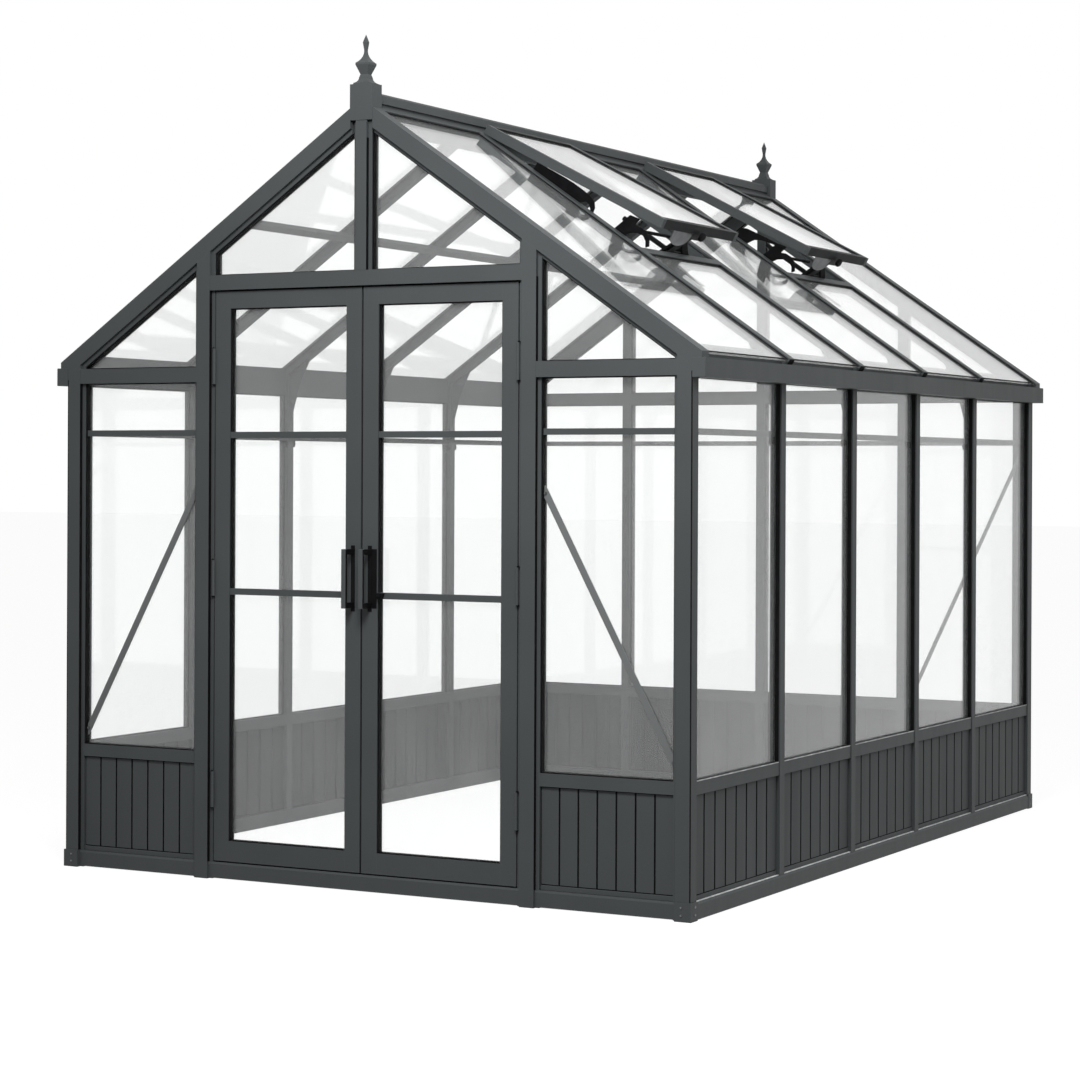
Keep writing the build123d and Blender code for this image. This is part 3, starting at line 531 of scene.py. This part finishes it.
def boards(node_name, pitch, gap):
    """Upright boards on both faces of a black core, their side faces black to paint the shade in
    the joints, and a trim at their foot.
    """
    faces = bmesh.new()
    lining = bmesh.new()
    cores = bmesh.new()
    for solid in loose_solids(node_name):
        low, high = box_corners(solid)
        solid.free()
        across = 0 if high.y - low.y < high.x - low.x else 1
        thick = 1 - across
        core_low, core_high = low.copy(), high.copy()
        core_low[thick] += BOARD_DEPTH
        core_high[thick] -= BOARD_DEPTH
        join(cores, block(core_low, core_high))
        span = high[across] - low[across]
        count = round(span / pitch)
        lines = [span * i / count for i in range(1, count)]
        edges = [PANEL_GAP - gap / 2] + lines + [span - PANEL_GAP + gap / 2]
        outer_is_high = low[thick] + high[thick] > 0
        layers = ((low[thick], core_low[thick]), (core_high[thick], high[thick]))
        for start, end in zip(edges, edges[1:]):
            for layer in layers:
                outer = (layer is layers[1]) == outer_is_high
                board_low, board_high = low.copy(), high.copy()
                board_low[across] = low[across] + start + gap / 2
                board_high[across] = low[across] + end - gap / 2
                board_low[thick], board_high[thick] = layer
                board_low.z += FOOT_TRIM + PANEL_GAP if outer else PANEL_GAP
                board_high.z -= PANEL_GAP
                board = block(board_low, board_high, BOARD_ROUND, 1)
                # the boards' side faces take the black second finish: painted shade deep in the
                # joints
                for face in board.faces:
                    if abs(face.normal[across]) > 0.9:
                        face.material_index = 1
                join(faces if outer else lining, board)
        trim_low, trim_high = low.copy(), high.copy()
        trim_low[thick] = core_high[thick] if outer_is_high else low[thick] - TRIM_PROUD
        trim_high[thick] = high[thick] + TRIM_PROUD if outer_is_high else core_low[thick]
        trim_low[across] += TRIM_PLAY
        trim_high[across] -= TRIM_PLAY
        trim_high.z = low.z + FOOT_TRIM
        join(faces, block(trim_low, trim_high, 0.001, 1))
    wall = node_name.replace("_skirting", "")
    keep(wall + "_boards", faces, board_paint, "frame", (node_name,), black_rubber_and_shade)
    keep(wall + "_lining", lining, lining_paint, "frame", (), black_rubber_and_shade)
    keep(wall + "_board_cores", cores, black_rubber_and_shade, "frame")


boards("gable_skirting", GABLE_PITCH, GABLE_GAP)
boards("side_skirting", SIDE_PITCH, SIDE_GAP)

# ---- where things are ------------------------------------------------------------------

posts_low, posts_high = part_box("corner_posts")
SIDE, FRONT = posts_high.x, posts_low.y  # x of the right wall's face and y of the front's
leaf_low, leaf_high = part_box("right_door_stiles")
hinge_low, hinge_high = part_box("door_post_hinges")
head_low, head_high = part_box("door_head")
OPENING = hinge_high.x  # half the doorway's width
DOOR_HEAD = head_low.z
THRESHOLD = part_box("front_base_rails")[1].z
POST_HALF = 0.0185
POST_PITCH = (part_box("side_posts")[1].y - POST_HALF) / 1.5
POST_YS = [POST_PITCH * step for step in (-1.5, -0.5, 0.5, 1.5)]  # the side posts' middles
ROOF_PITCH = radians(34.5)
ROOF_SPRING = 1.763  # height of the slopes over the outer faces of the side posts
APEX = ROOF_SPRING + SIDE * tan(ROOF_PITCH)
ROOF_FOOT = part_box("right_roof_bars")[1].x / cos(ROOF_PITCH)


def slope(hand, distance=0.0, along=0.0, lift=0.0):
    """Sets a part on a slope: its x runs down it, its y along the roof and its z off it."""
    down = Vector((hand * cos(ROOF_PITCH), 0, -sin(ROOF_PITCH)))
    off = Vector((hand * sin(ROOF_PITCH), 0, cos(ROOF_PITCH)))
    turn = Matrix((down, off.cross(down), off)).transposed().to_4x4()
    start = Vector((0, 0, APEX)) + down * distance + Vector((0, along, 0)) + off * lift
    return Matrix.Translation(start) @ turn


# ---- pale strips of painted highlight along the foot of the boards and of the side panes ---

rail_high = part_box("side_base_rails")[1]
skirt_low, skirt_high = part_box("side_skirting")
sill_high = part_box("side_sill_rails")[1]
POST_GAP = 0.0005  # between a highlight strip and a post
# pale strips on the base rails' and sills' ledges: a painted highlight along their edges
HIGHLIGHT_STRIPS = (  # height of what a strip lies on, its inner and outer x, and how high it stands
    (rail_high.z, skirt_high.x + TRIM_PROUD, rail_high.x - 0.0062, 0.0022),
    (sill_high.z, sill_high.x - 0.012, sill_high.x - 0.001, 0.0030),
)
highlight_strip_ends = [y + way * (POST_HALF + POST_GAP) for y in POST_YS for way in (-1, 1)]
bay_ends = [skirt_low.y, *highlight_strip_ends, skirt_high.y]
highlight_strips = bmesh.new()
for hand in (-1, 1):
    for bay in zip(bay_ends[::2], bay_ends[1::2]):
        for z, inner_x, outer_x, height in HIGHLIGHT_STRIPS:
            xs = (hand * inner_x, hand * outer_x)
            join(highlight_strips, block_between(xs, bay, (z - 0.0005, z + height), 0.001))
keep("ledge_highlight_strips", highlight_strips, highlight_strip_paint, "frame")

# ---- black strips that paint the shade in the steps of the gable posts -----------------

STRIP_SUNK = 0.0003
STRIP_PROUD = 0.0008
STRIP_GAP = 0.0005  # between its ends and the rails
STEP_DEPTH = 0.0142
FLANGE = 0.013  # from a post's step to its edge
MULLION_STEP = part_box("gable_mullion")[1].x - FLANGE
POST_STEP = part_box("gable_posts")[1].x - FLANGE
gable_low, gable_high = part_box("gable_rails")
UNDER_RAIL, OVER_RAIL = gable_low.z - STRIP_GAP, gable_high.z + STRIP_GAP
FEET_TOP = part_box("corner_feet")[1].z
THRESHOLD_FOOT = THRESHOLD + 0.0015
STEP_STRIPS = (  # x of the step, the way it faces, and the strip's foot and top
    (MULLION_STEP, 1, head_high.z + STRIP_GAP, 2.455),
    (head_high.x, -1, THRESHOLD_FOOT, head_low.z - STRIP_GAP),
    (POST_STEP, 1, THRESHOLD_FOOT, UNDER_RAIL),
    (POST_STEP, 1, OVER_RAIL, 1.985),
    (gable_high.x, -1, FEET_TOP + STRIP_GAP, UNDER_RAIL),
)
step_shade_strips = bmesh.new()
for hand in (-1, 1):
    for x, way, foot, top in STEP_STRIPS:
        for end in (-1, 1):
            if end < 0 or x == gable_high.x:  # the back gable has them at its corners alone
                xs = (hand * (x - STRIP_SUNK * way), hand * (x + STRIP_PROUD * way))
                ys = (end * (-FRONT - STRIP_PROUD), end * (-FRONT - STEP_DEPTH))
                join(step_shade_strips, block_between(xs, ys, (foot, top), 0.0003, 1))
keep("step_shade_strips", step_shade_strips, black_rubber_and_shade, "frame")

# ---- door seals ------------------------------------------------------------------------

LEAVES = (("left_door", -1), ("right_door", 1))
SEAL_LAP = 0.010
SEAL_YS = (leaf_high.y + 0.0005, leaf_high.y + 0.0055)
SEAL_END = leaf_high.x - SEAL_LAP
BRUSH_GAP = 0.0009  # half of what is left between the two brushes
BRUSH_YS = (leaf_low.y + 0.006, leaf_low.y + 0.014)
BRUSH_ZS = (leaf_low.z + 0.004, leaf_high.z - 0.004)
seals = bmesh.new()
for hand in (-1, 1):
    xs = (hand * SEAL_END, hand * OPENING)
    join(seals, block_between(xs, SEAL_YS, (THRESHOLD, DOOR_HEAD), 0.001))
for zs in ((leaf_high.z - SEAL_LAP, DOOR_HEAD), (THRESHOLD, leaf_low.z + SEAL_LAP)):
    join(seals, block_between((-SEAL_END, SEAL_END), SEAL_YS, zs, 0.001))
keep("door_seals", seals, black_rubber_and_shade, "frame")

for name, hand in LEAVES:
    brush = block_between((hand * BRUSH_GAP, hand * leaf_low.x), BRUSH_YS, BRUSH_ZS, 0.0005)
    keep(name + "_brush", brush, black_rubber_and_shade, name)

# ---- door handles, latch and hinge caps ------------------------------------------------

BAR_DEPTH = 0.012
ARM_HEIGHT = 0.019
PLATE_HALF = 0.0075
PLATE_DEPTH = 0.0022
PLATE_OVERLAP = 0.011  # past the two ends of the bar
PLATE_SCREW = (0.0036, 0.0014)  # radius and height
SHADOW_PLATE_WIDTH = 0.019
for name, hand in LEAVES:
    pull_low, pull_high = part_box(name + "_handle")
    middle = (pull_low.x + pull_high.x) / 2
    leaf_face = pull_high.y
    bar_back = pull_low.y + BAR_DEPTH
    bar = block(pull_low, (pull_high.x, bar_back, pull_high.z), 0.0018, 3)
    # the bar's sides and back take black nylon: on the sides this is painted shade
    for face in bar.faces:
        if abs(face.normal.x) > 0.9 or face.normal.y > 0.9:
            face.material_index = 1
    keep(name + "_pull", bar, pull_paint, name, (name + "_handle",), black_nylon_and_shade)
    mounts = bmesh.new()
    xs = (middle - PLATE_HALF, middle + PLATE_HALF)
    ys = (leaf_face - PLATE_DEPTH, leaf_face)
    zs = (pull_low.z - PLATE_OVERLAP, pull_high.z + PLATE_OVERLAP)
    join(mounts, block_between(xs, ys, zs, 0.0008))
    for foot in (pull_low.z, pull_high.z - ARM_HEIGHT):
        xs = (pull_low.x + 0.001, pull_high.x - 0.001)
        ys = (bar_back - 0.003, leaf_face - 0.001)
        zs = (foot + 0.0006, foot + ARM_HEIGHT - 0.0006)
        join(mounts, block_between(xs, ys, zs, 0.0015))
    for z in (pull_low.z - 0.006, pull_high.z + 0.006):
        bolt(mounts, (middle, leaf_face - PLATE_DEPTH, z), (0, -1, 0), *PLATE_SCREW)
    # on the right leaf, a thin black plate beside the pull paints the shadow that falls there
    if hand > 0:
        xs = (middle + PLATE_HALF, middle + PLATE_HALF + SHADOW_PLATE_WIDTH)
        ys = (leaf_face - 0.0016, leaf_face)
        join(mounts, block_between(xs, ys, (pull_low.z, pull_high.z), 0.0006, 1))
    keep(name + "_pull_mounts", mounts, black_nylon_and_shade, name)

LATCH_WIDTH = 0.027
LATCH_PROUD = 0.009
LATCH_ZS = (0.9565, 0.9745)
LATCH_MIDDLE = sum(LATCH_ZS) / 2
LATCH_LEAN = 0.006  # of its outer end, in towards the foot
KNOB = ((0, 0), (0.0062, 0), (0.0062, 0.004), (0.0045, 0.0058), (0, 0.0062))
rail_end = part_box("right_door_rails")[0].x
latch_face = leaf_low.y - LATCH_PROUD
latch_xs = (rail_end, rail_end + LATCH_WIDTH)
latch = block_between(latch_xs, (latch_face, leaf_low.y + 0.003), LATCH_ZS, 0)
for vert in latch.verts:
    if vert.co.x > rail_end + LATCH_WIDTH / 2 and vert.co.z < LATCH_MIDDLE:
        vert.co.x -= LATCH_LEAN
round_edges(latch, 0.0014, 2)
turned(latch, KNOB, (rail_end + 0.010, latch_face, LATCH_MIDDLE), (0, -1, 0), 20)
keep("right_door_latch", latch, black_nylon_and_shade, "right_door")

HINGE_X, HINGE_Y = OPENING - 0.0025, leaf_low.y - 0.0061
HINGE_HALF = 0.060
HINGE_ZS = (hinge_low.z + HINGE_HALF, (hinge_low.z + hinge_high.z) / 2, hinge_high.z - HINGE_HALF)
HINGE_CAP = (
    (0, 0), (0.0055, 0), (0.0055, 0.0012), (0.0046, 0.0012), (0.0038, 0.0034), (0, 0.0046),
)
hinge_caps = bmesh.new()
for hand in (-1, 1):
    for z in HINGE_ZS:
        for end in (-1, 1):
            place = (hand * HINGE_X, HINGE_Y, z + end * HINGE_HALF)
            turned(hinge_caps, HINGE_CAP, place, (0, 0, end), 16)
keep("hinge_caps", hinge_caps, black_nylon_and_shade, "frame")

# ---- gutter ends, roof bar ends, and black corner strips that paint the shade on each corner ---

GUTTER_END = 0.0028
CORNER_STRIP_SUNK = 0.0036
CORNER_STRIP_PROUD = 0.0003
CORNER_STRIP_FOOT = FEET_TOP + 0.0015
BAR_END_HALF = POST_HALF - 0.0003
BAR_END = ((0, -BAR_END_HALF, -0.0375), (0.0026, BAR_END_HALF, -0.0003))
gutter_low, gutter_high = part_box("gutters")
gutter_ends = bmesh.new()
bar_ends = bmesh.new()
corner_strips = bmesh.new()
for hand in (-1, 1):
    for end in (-1, 1):
        xs = (hand * (SIDE + 0.0004), hand * gutter_high.x)
        ys = (end * -FRONT, end * (GUTTER_END - FRONT))
        zs = (gutter_low.z, gutter_high.z - 0.0005)
        join(gutter_ends, block_between(xs, ys, zs, 0.001))
        # a black strip down each corner edge paints the dark shade line there
        xs = (hand * (SIDE - CORNER_STRIP_SUNK), hand * (SIDE + CORNER_STRIP_PROUD))
        ys = (end * (-FRONT - CORNER_STRIP_SUNK), end * (CORNER_STRIP_PROUD - FRONT))
        join(corner_strips, block_between(xs, ys, (CORNER_STRIP_FOOT, gutter_low.z + 0.02), 0.0006, 1))
    for y in POST_YS:
        laid(bar_ends, block(*BAR_END, 0.0008, 1), slope(hand, ROOF_FOOT, y))
keep("gutter_ends", gutter_ends, frame_paint)
keep("corner_shade_strips", corner_strips, black_rubber_and_shade, "frame")
keep("roof_bar_ends", bar_ends, black_nylon_and_shade, "frame")

# ---- roof window stays -----------------------------------------------------------------


def plate(outline, low, high, across):
    """A flat plate: its outline lies in two directions and its thickness along the third."""
    part = bmesh.new()
    corners = [(low, u, v) if across == 0 else (u, low, v) for u, v in outline]
    face = part.faces.new([part.verts.new(corner) for corner in corners])
    part.normal_update()
    depth = Vector((0, 0, 0))
    depth[across] = high - low
    thicken(part, [face], depth)
    return part


def bar_outline(start, end, width, steps=6):
    """The outline of a bar with round ends between two points."""
    along = (Vector(end) - Vector(start)).normalized()
    over = Vector((-along.y, along.x))
    outline = []
    for middle, way in ((Vector(start), 1), (Vector(end), -1)):
        for i in range(steps + 1):
            turn = pi * i / steps
            outline.append(middle + (over * cos(turn) - along * sin(turn)) * way * width / 2)
    return outline


WINDOW_YS = (-POST_PITCH, POST_PITCH)  # the windows' middles
# outlines as distances down the slope and heights over it
LONG_CLAW = (
    (0.300, -0.030), (0.300, 0.026), (0.360, 0.034), (0.420, 0.040), (0.460, 0.042),
    (0.500, 0.042), (0.540, 0.040), (0.562, 0.032), (0.576, 0.016), (0.580, -0.004),
    (0.574, -0.010), (0.566, 0.002), (0.552, 0.014), (0.538, 0.016), (0.522, 0.004),
    (0.508, -0.012), (0.490, -0.030),
)
SHORT_CLAW = (
    (0.548, -0.030), (0.540, 0.006), (0.544, 0.036), (0.566, 0.046), (0.620, 0.055),
    (0.680, 0.064), (0.740, 0.070), (0.744, 0.063), (0.690, 0.054), (0.644, 0.042),
    (0.616, 0.026), (0.600, 0.002), (0.592, -0.030),
)
LOWER_CLAW = (
    (0.690, -0.010), (0.704, 0.024), (0.726, 0.042), (0.756, 0.054), (0.786, 0.055),
    (0.810, 0.042), (0.824, 0.018), (0.816, 0.008), (0.804, 0.026), (0.786, 0.036),
    (0.762, 0.032), (0.738, 0.016), (0.720, -0.010),
)
SIDE_STRUT = ((0.674, -0.010), (0.702, 0.0665), (0.7415, 0.0755), (0.720, -0.014))
CLAW_OFFSET = -0.292  # from the middle of a window to its claws
CLAW_HALF = 0.003
STRUT_DEPTH = 0.005
OPENER_DISTANCE = 0.790
ARM_FOOT, ARM_HEAD = (0.098, -0.030), (-0.050, 0.076)  # along the roof and over the slope
ARM_WIDTH, ARM_DEPTH = 0.026, 0.009
LEGS = (((-0.050, -0.062), (0.100, 0.004)), ((0.040, 0.002), (0.170, -0.036)))
LEG_WIDTH = 0.022
LEG_DISTANCES = (OPENER_DISTANCE - 0.030, OPENER_DISTANCE - 0.022)
ROD_OUTLINE = bar_outline((0.745, 0.033), (0.7451, 0.033), 0.012, 8)
BUFFER = ((0, 0), (0.014, 0), (0.017, 0.003), (0.017, 0.010), (0.013, 0.014), (0, 0.015))
BUFFER_PLACE = (0.838, 0.094)  # down the slope and over it
TONGUE_DISTANCES = (0.822, 0.825)
TONGUE_MIDDLE, TONGUE_TOP, TONGUE_FOOT = -0.110, 0.092, 0.072
TONGUE_HALF, TONGUE_ROUND, TONGUE_DROP = 0.075, 0.070, 0.034

stays = bmesh.new()
tongues = bmesh.new()
for middle, claw in zip(WINDOW_YS, (LONG_CLAW, SHORT_CLAW)):
    claw_y = middle + CLAW_OFFSET
    for outline in (claw, LOWER_CLAW):
        laid(stays, plate(outline, claw_y - CLAW_HALF, claw_y + CLAW_HALF, 1), slope(1))
    strut_y = claw_y + CLAW_HALF
    laid(stays, plate(SIDE_STRUT, strut_y, strut_y + STRUT_DEPTH, 1), slope(1))
    for way in (-1, 1):
        foot = (middle + way * ARM_FOOT[0], ARM_FOOT[1])
        head = (middle + way * ARM_HEAD[0], ARM_HEAD[1])
        start = OPENER_DISTANCE - 0.006 + ARM_DEPTH * way
        arm = plate(bar_outline(foot, head, ARM_WIDTH), start, start + ARM_DEPTH, 0)
        laid(stays, arm, slope(1))
    for foot, head in LEGS:
        leg = bar_outline((middle + foot[0], foot[1]), (middle + head[0], head[1]), LEG_WIDTH)
        laid(stays, plate(leg, *LEG_DISTANCES, 0), slope(1))
    laid(stays, plate(ROD_OUTLINE, claw_y, middle - 0.02, 1), slope(1))
    place = slope(1, BUFFER_PLACE[0], middle, BUFFER_PLACE[1]).translation
    turned(stays, BUFFER, place, (cos(ROOF_PITCH), 0, -sin(ROOF_PITCH)), 24)
    tongue_y = middle + TONGUE_MIDDLE
    tongue = [(tongue_y - TONGUE_HALF, TONGUE_TOP), (tongue_y + TONGUE_HALF, TONGUE_TOP)]
    for degrees in range(0, 181, 15):
        bend = radians(degrees)
        height = TONGUE_FOOT - TONGUE_DROP * sin(bend)
        tongue.append((tongue_y + TONGUE_ROUND * cos(bend), height))
    laid(tongues, plate(tongue, *TONGUE_DISTANCES, 0), slope(1))
keep("window_stays", stays, black_nylon_and_shade, "frame")
keep("window_tongues", tongues, zinc)

# ---- crossbar clips and bolts ----------------------------------------------------------

CLIP_DEPTH = 0.018
CLIP_HEIGHT = 0.024
CLIP_REACH = (POST_HALF, POST_HALF + 0.014)  # on either side of a post's middle
cross_low, cross_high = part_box("side_crossbars")
clips = bmesh.new()
for hand in (-1, 1):
    clip_face = hand * (cross_high.x - CLIP_DEPTH)
    for y in POST_YS:
        for way in (-1, 1):
            ys = [y + way * reach for reach in CLIP_REACH]
            xs = (hand * (cross_high.x - 0.001), clip_face)
            zs = (cross_low.z - CLIP_HEIGHT, cross_low.z - 0.0003)
            join(clips, block_between(xs, ys, zs, 0.002))
            place = (clip_face, sum(ys) / 2, cross_low.z - CLIP_HEIGHT / 2)
            bolt(clips, place, (-hand, 0, 0), 0.0042)
keep("crossbar_clips", clips, black_nylon_and_shade, "frame")

FOOT_PROUD = 0.005
FOOT_BOLT = (0.0042, 0.0024)  # radius and height
FOOT_BOLT_ZS = (0.020, 0.044)
GUSSET_HALF = 0.003
KNEE_BOLTS = ((1.143, 1.640), (1.118, 1.745))  # x and z, on both faces of each gusset
BRACE_BOLT = (0.0058, 0.0035)
FRONT_BRACE_ENDS = ((0.671, 1.303), (1.120, 0.479))  # x and z
FRONT_BRACE_Y = FRONT + 0.0317
SIDE_BRACE_ENDS = ((POST_PITCH / 2, 0.509), (1.570, 1.418))  # y and z
SIDE_BRACE_X = SIDE - 0.045
bolts = bmesh.new()
for hand in (-1, 1):
    for end in (-1, 1):
        for z in FOOT_BOLT_ZS:
            if end < 0:
                place = (hand * (SIDE - 0.028), FRONT - FOOT_PROUD, z)
                bolt(bolts, place, (0, -1, 0), *FOOT_BOLT)
            place = (hand * (SIDE + FOOT_PROUD), end * (-FRONT - 0.026), z)
            bolt(bolts, place, (hand, 0, 0), *FOOT_BOLT)
    for y in POST_YS:
        for way in (-1, 1):
            for x, z in KNEE_BOLTS:
                bolt(bolts, (hand * x, y + way * GUSSET_HALF, z), (0, way, 0))
    for x, z in FRONT_BRACE_ENDS:
        bolt(bolts, (hand * x, FRONT_BRACE_Y, z), (0, -1, 0), *BRACE_BOLT)
for y, z in SIDE_BRACE_ENDS:
    bolt(bolts, (SIDE_BRACE_X, y, z), (-1, 0, 0), *BRACE_BOLT)
keep("bolts", bolts, zinc)

# ---- light, floor and camera -----------------------------------------------------------

SKY_LIGHT = 0.34  # what the sky gives the object
SKY_SEEN = 1.0  # how bright it looks itself
FLOOR_TONE = 0.22
FLOOR_SEEN = 0.89
FLOOR_HALF = 60


def seen_directly(finish):
    """1 for what the camera, a mirror or glass shows, and 0 for what only lights the object."""
    rays = [
        finish.node("ShaderNodeLightPath", output=ray)
        for ray in ("Is Camera Ray", "Is Glossy Ray", "Is Transmission Ray")
    ]
    return (rays[0] + rays[1] + rays[2]).clamped(0, 1)


def lit_sky():
    """A white surround that is seen at full strength and lights at less."""
    sky = Finish(bpy.data.worlds.new("white studio"))
    strength = SKY_LIGHT + seen_directly(sky) * (SKY_SEEN - SKY_LIGHT)
    return sky.surface(
        sky.node("ShaderNodeBackground", None, {"Color": colour(1, 1, 1), "Strength": strength})
    )


def studio_floor():
    """A pale floor that shows white, and keeps the soft shadow."""
    floor = Finish(bpy.data.materials.new("pale studio floor"))
    cloud = floor.noise(0.8, 2.0)
    darker, paler = (colour(1, 1, 1, FLOOR_TONE * times) for times in (0.99, 1.01))
    base = floor.node("ShaderNodeBsdfDiffuse", None, {"Color": floor.blend(cloud, darker, paler)})
    strength = seen_directly(floor) * FLOOR_SEEN
    glow = floor.node(
        "ShaderNodeEmission", None, {"Color": colour(1, 1, 1), "Strength": strength}
    )
    return floor.surface(floor.node("ShaderNodeAddShader", None, {0: base, 1: glow}))


bpy.context.scene.world = lit_sky()

ground = bmesh.new()
bmesh.ops.create_grid(ground, x_segments=1, y_segments=1, size=FLOOR_HALF)
data = bpy.data.meshes.new("studio_floor")
ground.to_mesh(data)
ground.free()
data.materials.append(studio_floor())
floor = bpy.data.objects.new("studio_floor", data)
bpy.context.scene.collection.objects.link(floor)


def soft_box(name, place, aim, power, width, height):
    """A broad lamp at a place, turned towards a point."""
    light = bpy.data.lights.new(name, "AREA")
    light.shape = "RECTANGLE"
    light.size = width
    light.size_y = height
    light.energy = power
    lamp = bpy.data.objects.new(name, light)
    lamp.location = place
    lamp.rotation_euler = (Vector(place) - Vector(aim)).to_track_quat("Z", "Y").to_euler()
    lamp.visible_glossy = False
    bpy.context.scene.collection.objects.link(lamp)


soft_box("front lamp", (1.6, -4.4, 3.9), (0.8, -1.6, 1.9), power=184, width=1.6, height=1.3)
soft_box("side lamp", (3.6, -0.6, 3.9), (1.2, -0.4, 1.9), power=44, width=2.4, height=1.2)

# the camera stands to the right of the front, level, at eye height
CAMERA_PLACE = (4.7044, -9.0962, 1.370)
CAMERA_TURN = radians(28.427)
CAMERA_ROLL = radians(0.25)
SENSOR = 36.0  # its width in millimetres, like the focal length
FOCAL_LENGTH = 90.156667
LENS_SHIFT = -0.062963  # share of the picture's width

camera = bpy.data.cameras.new("camera")
camera.sensor_width = SENSOR
camera.lens = FOCAL_LENGTH
camera.shift_y = LENS_SHIFT
camera.clip_end = 200
viewer = bpy.data.objects.new("camera", camera)
level = Vector((cos(CAMERA_TURN), sin(CAMERA_TURN), 0))
ahead = Vector((-sin(CAMERA_TURN), cos(CAMERA_TURN), 0))
upright = Vector((0, 0, 1))
right = cos(CAMERA_ROLL) * level + sin(CAMERA_ROLL) * upright
top = cos(CAMERA_ROLL) * upright - sin(CAMERA_ROLL) * level
turn = Matrix((right, top, -ahead)).transposed()
viewer.matrix_world = Matrix.Translation(CAMERA_PLACE) @ turn.to_4x4()
bpy.context.scene.collection.objects.link(viewer)
bpy.context.scene.camera = viewer

bpy.context.scene.view_settings.view_transform = "Standard"
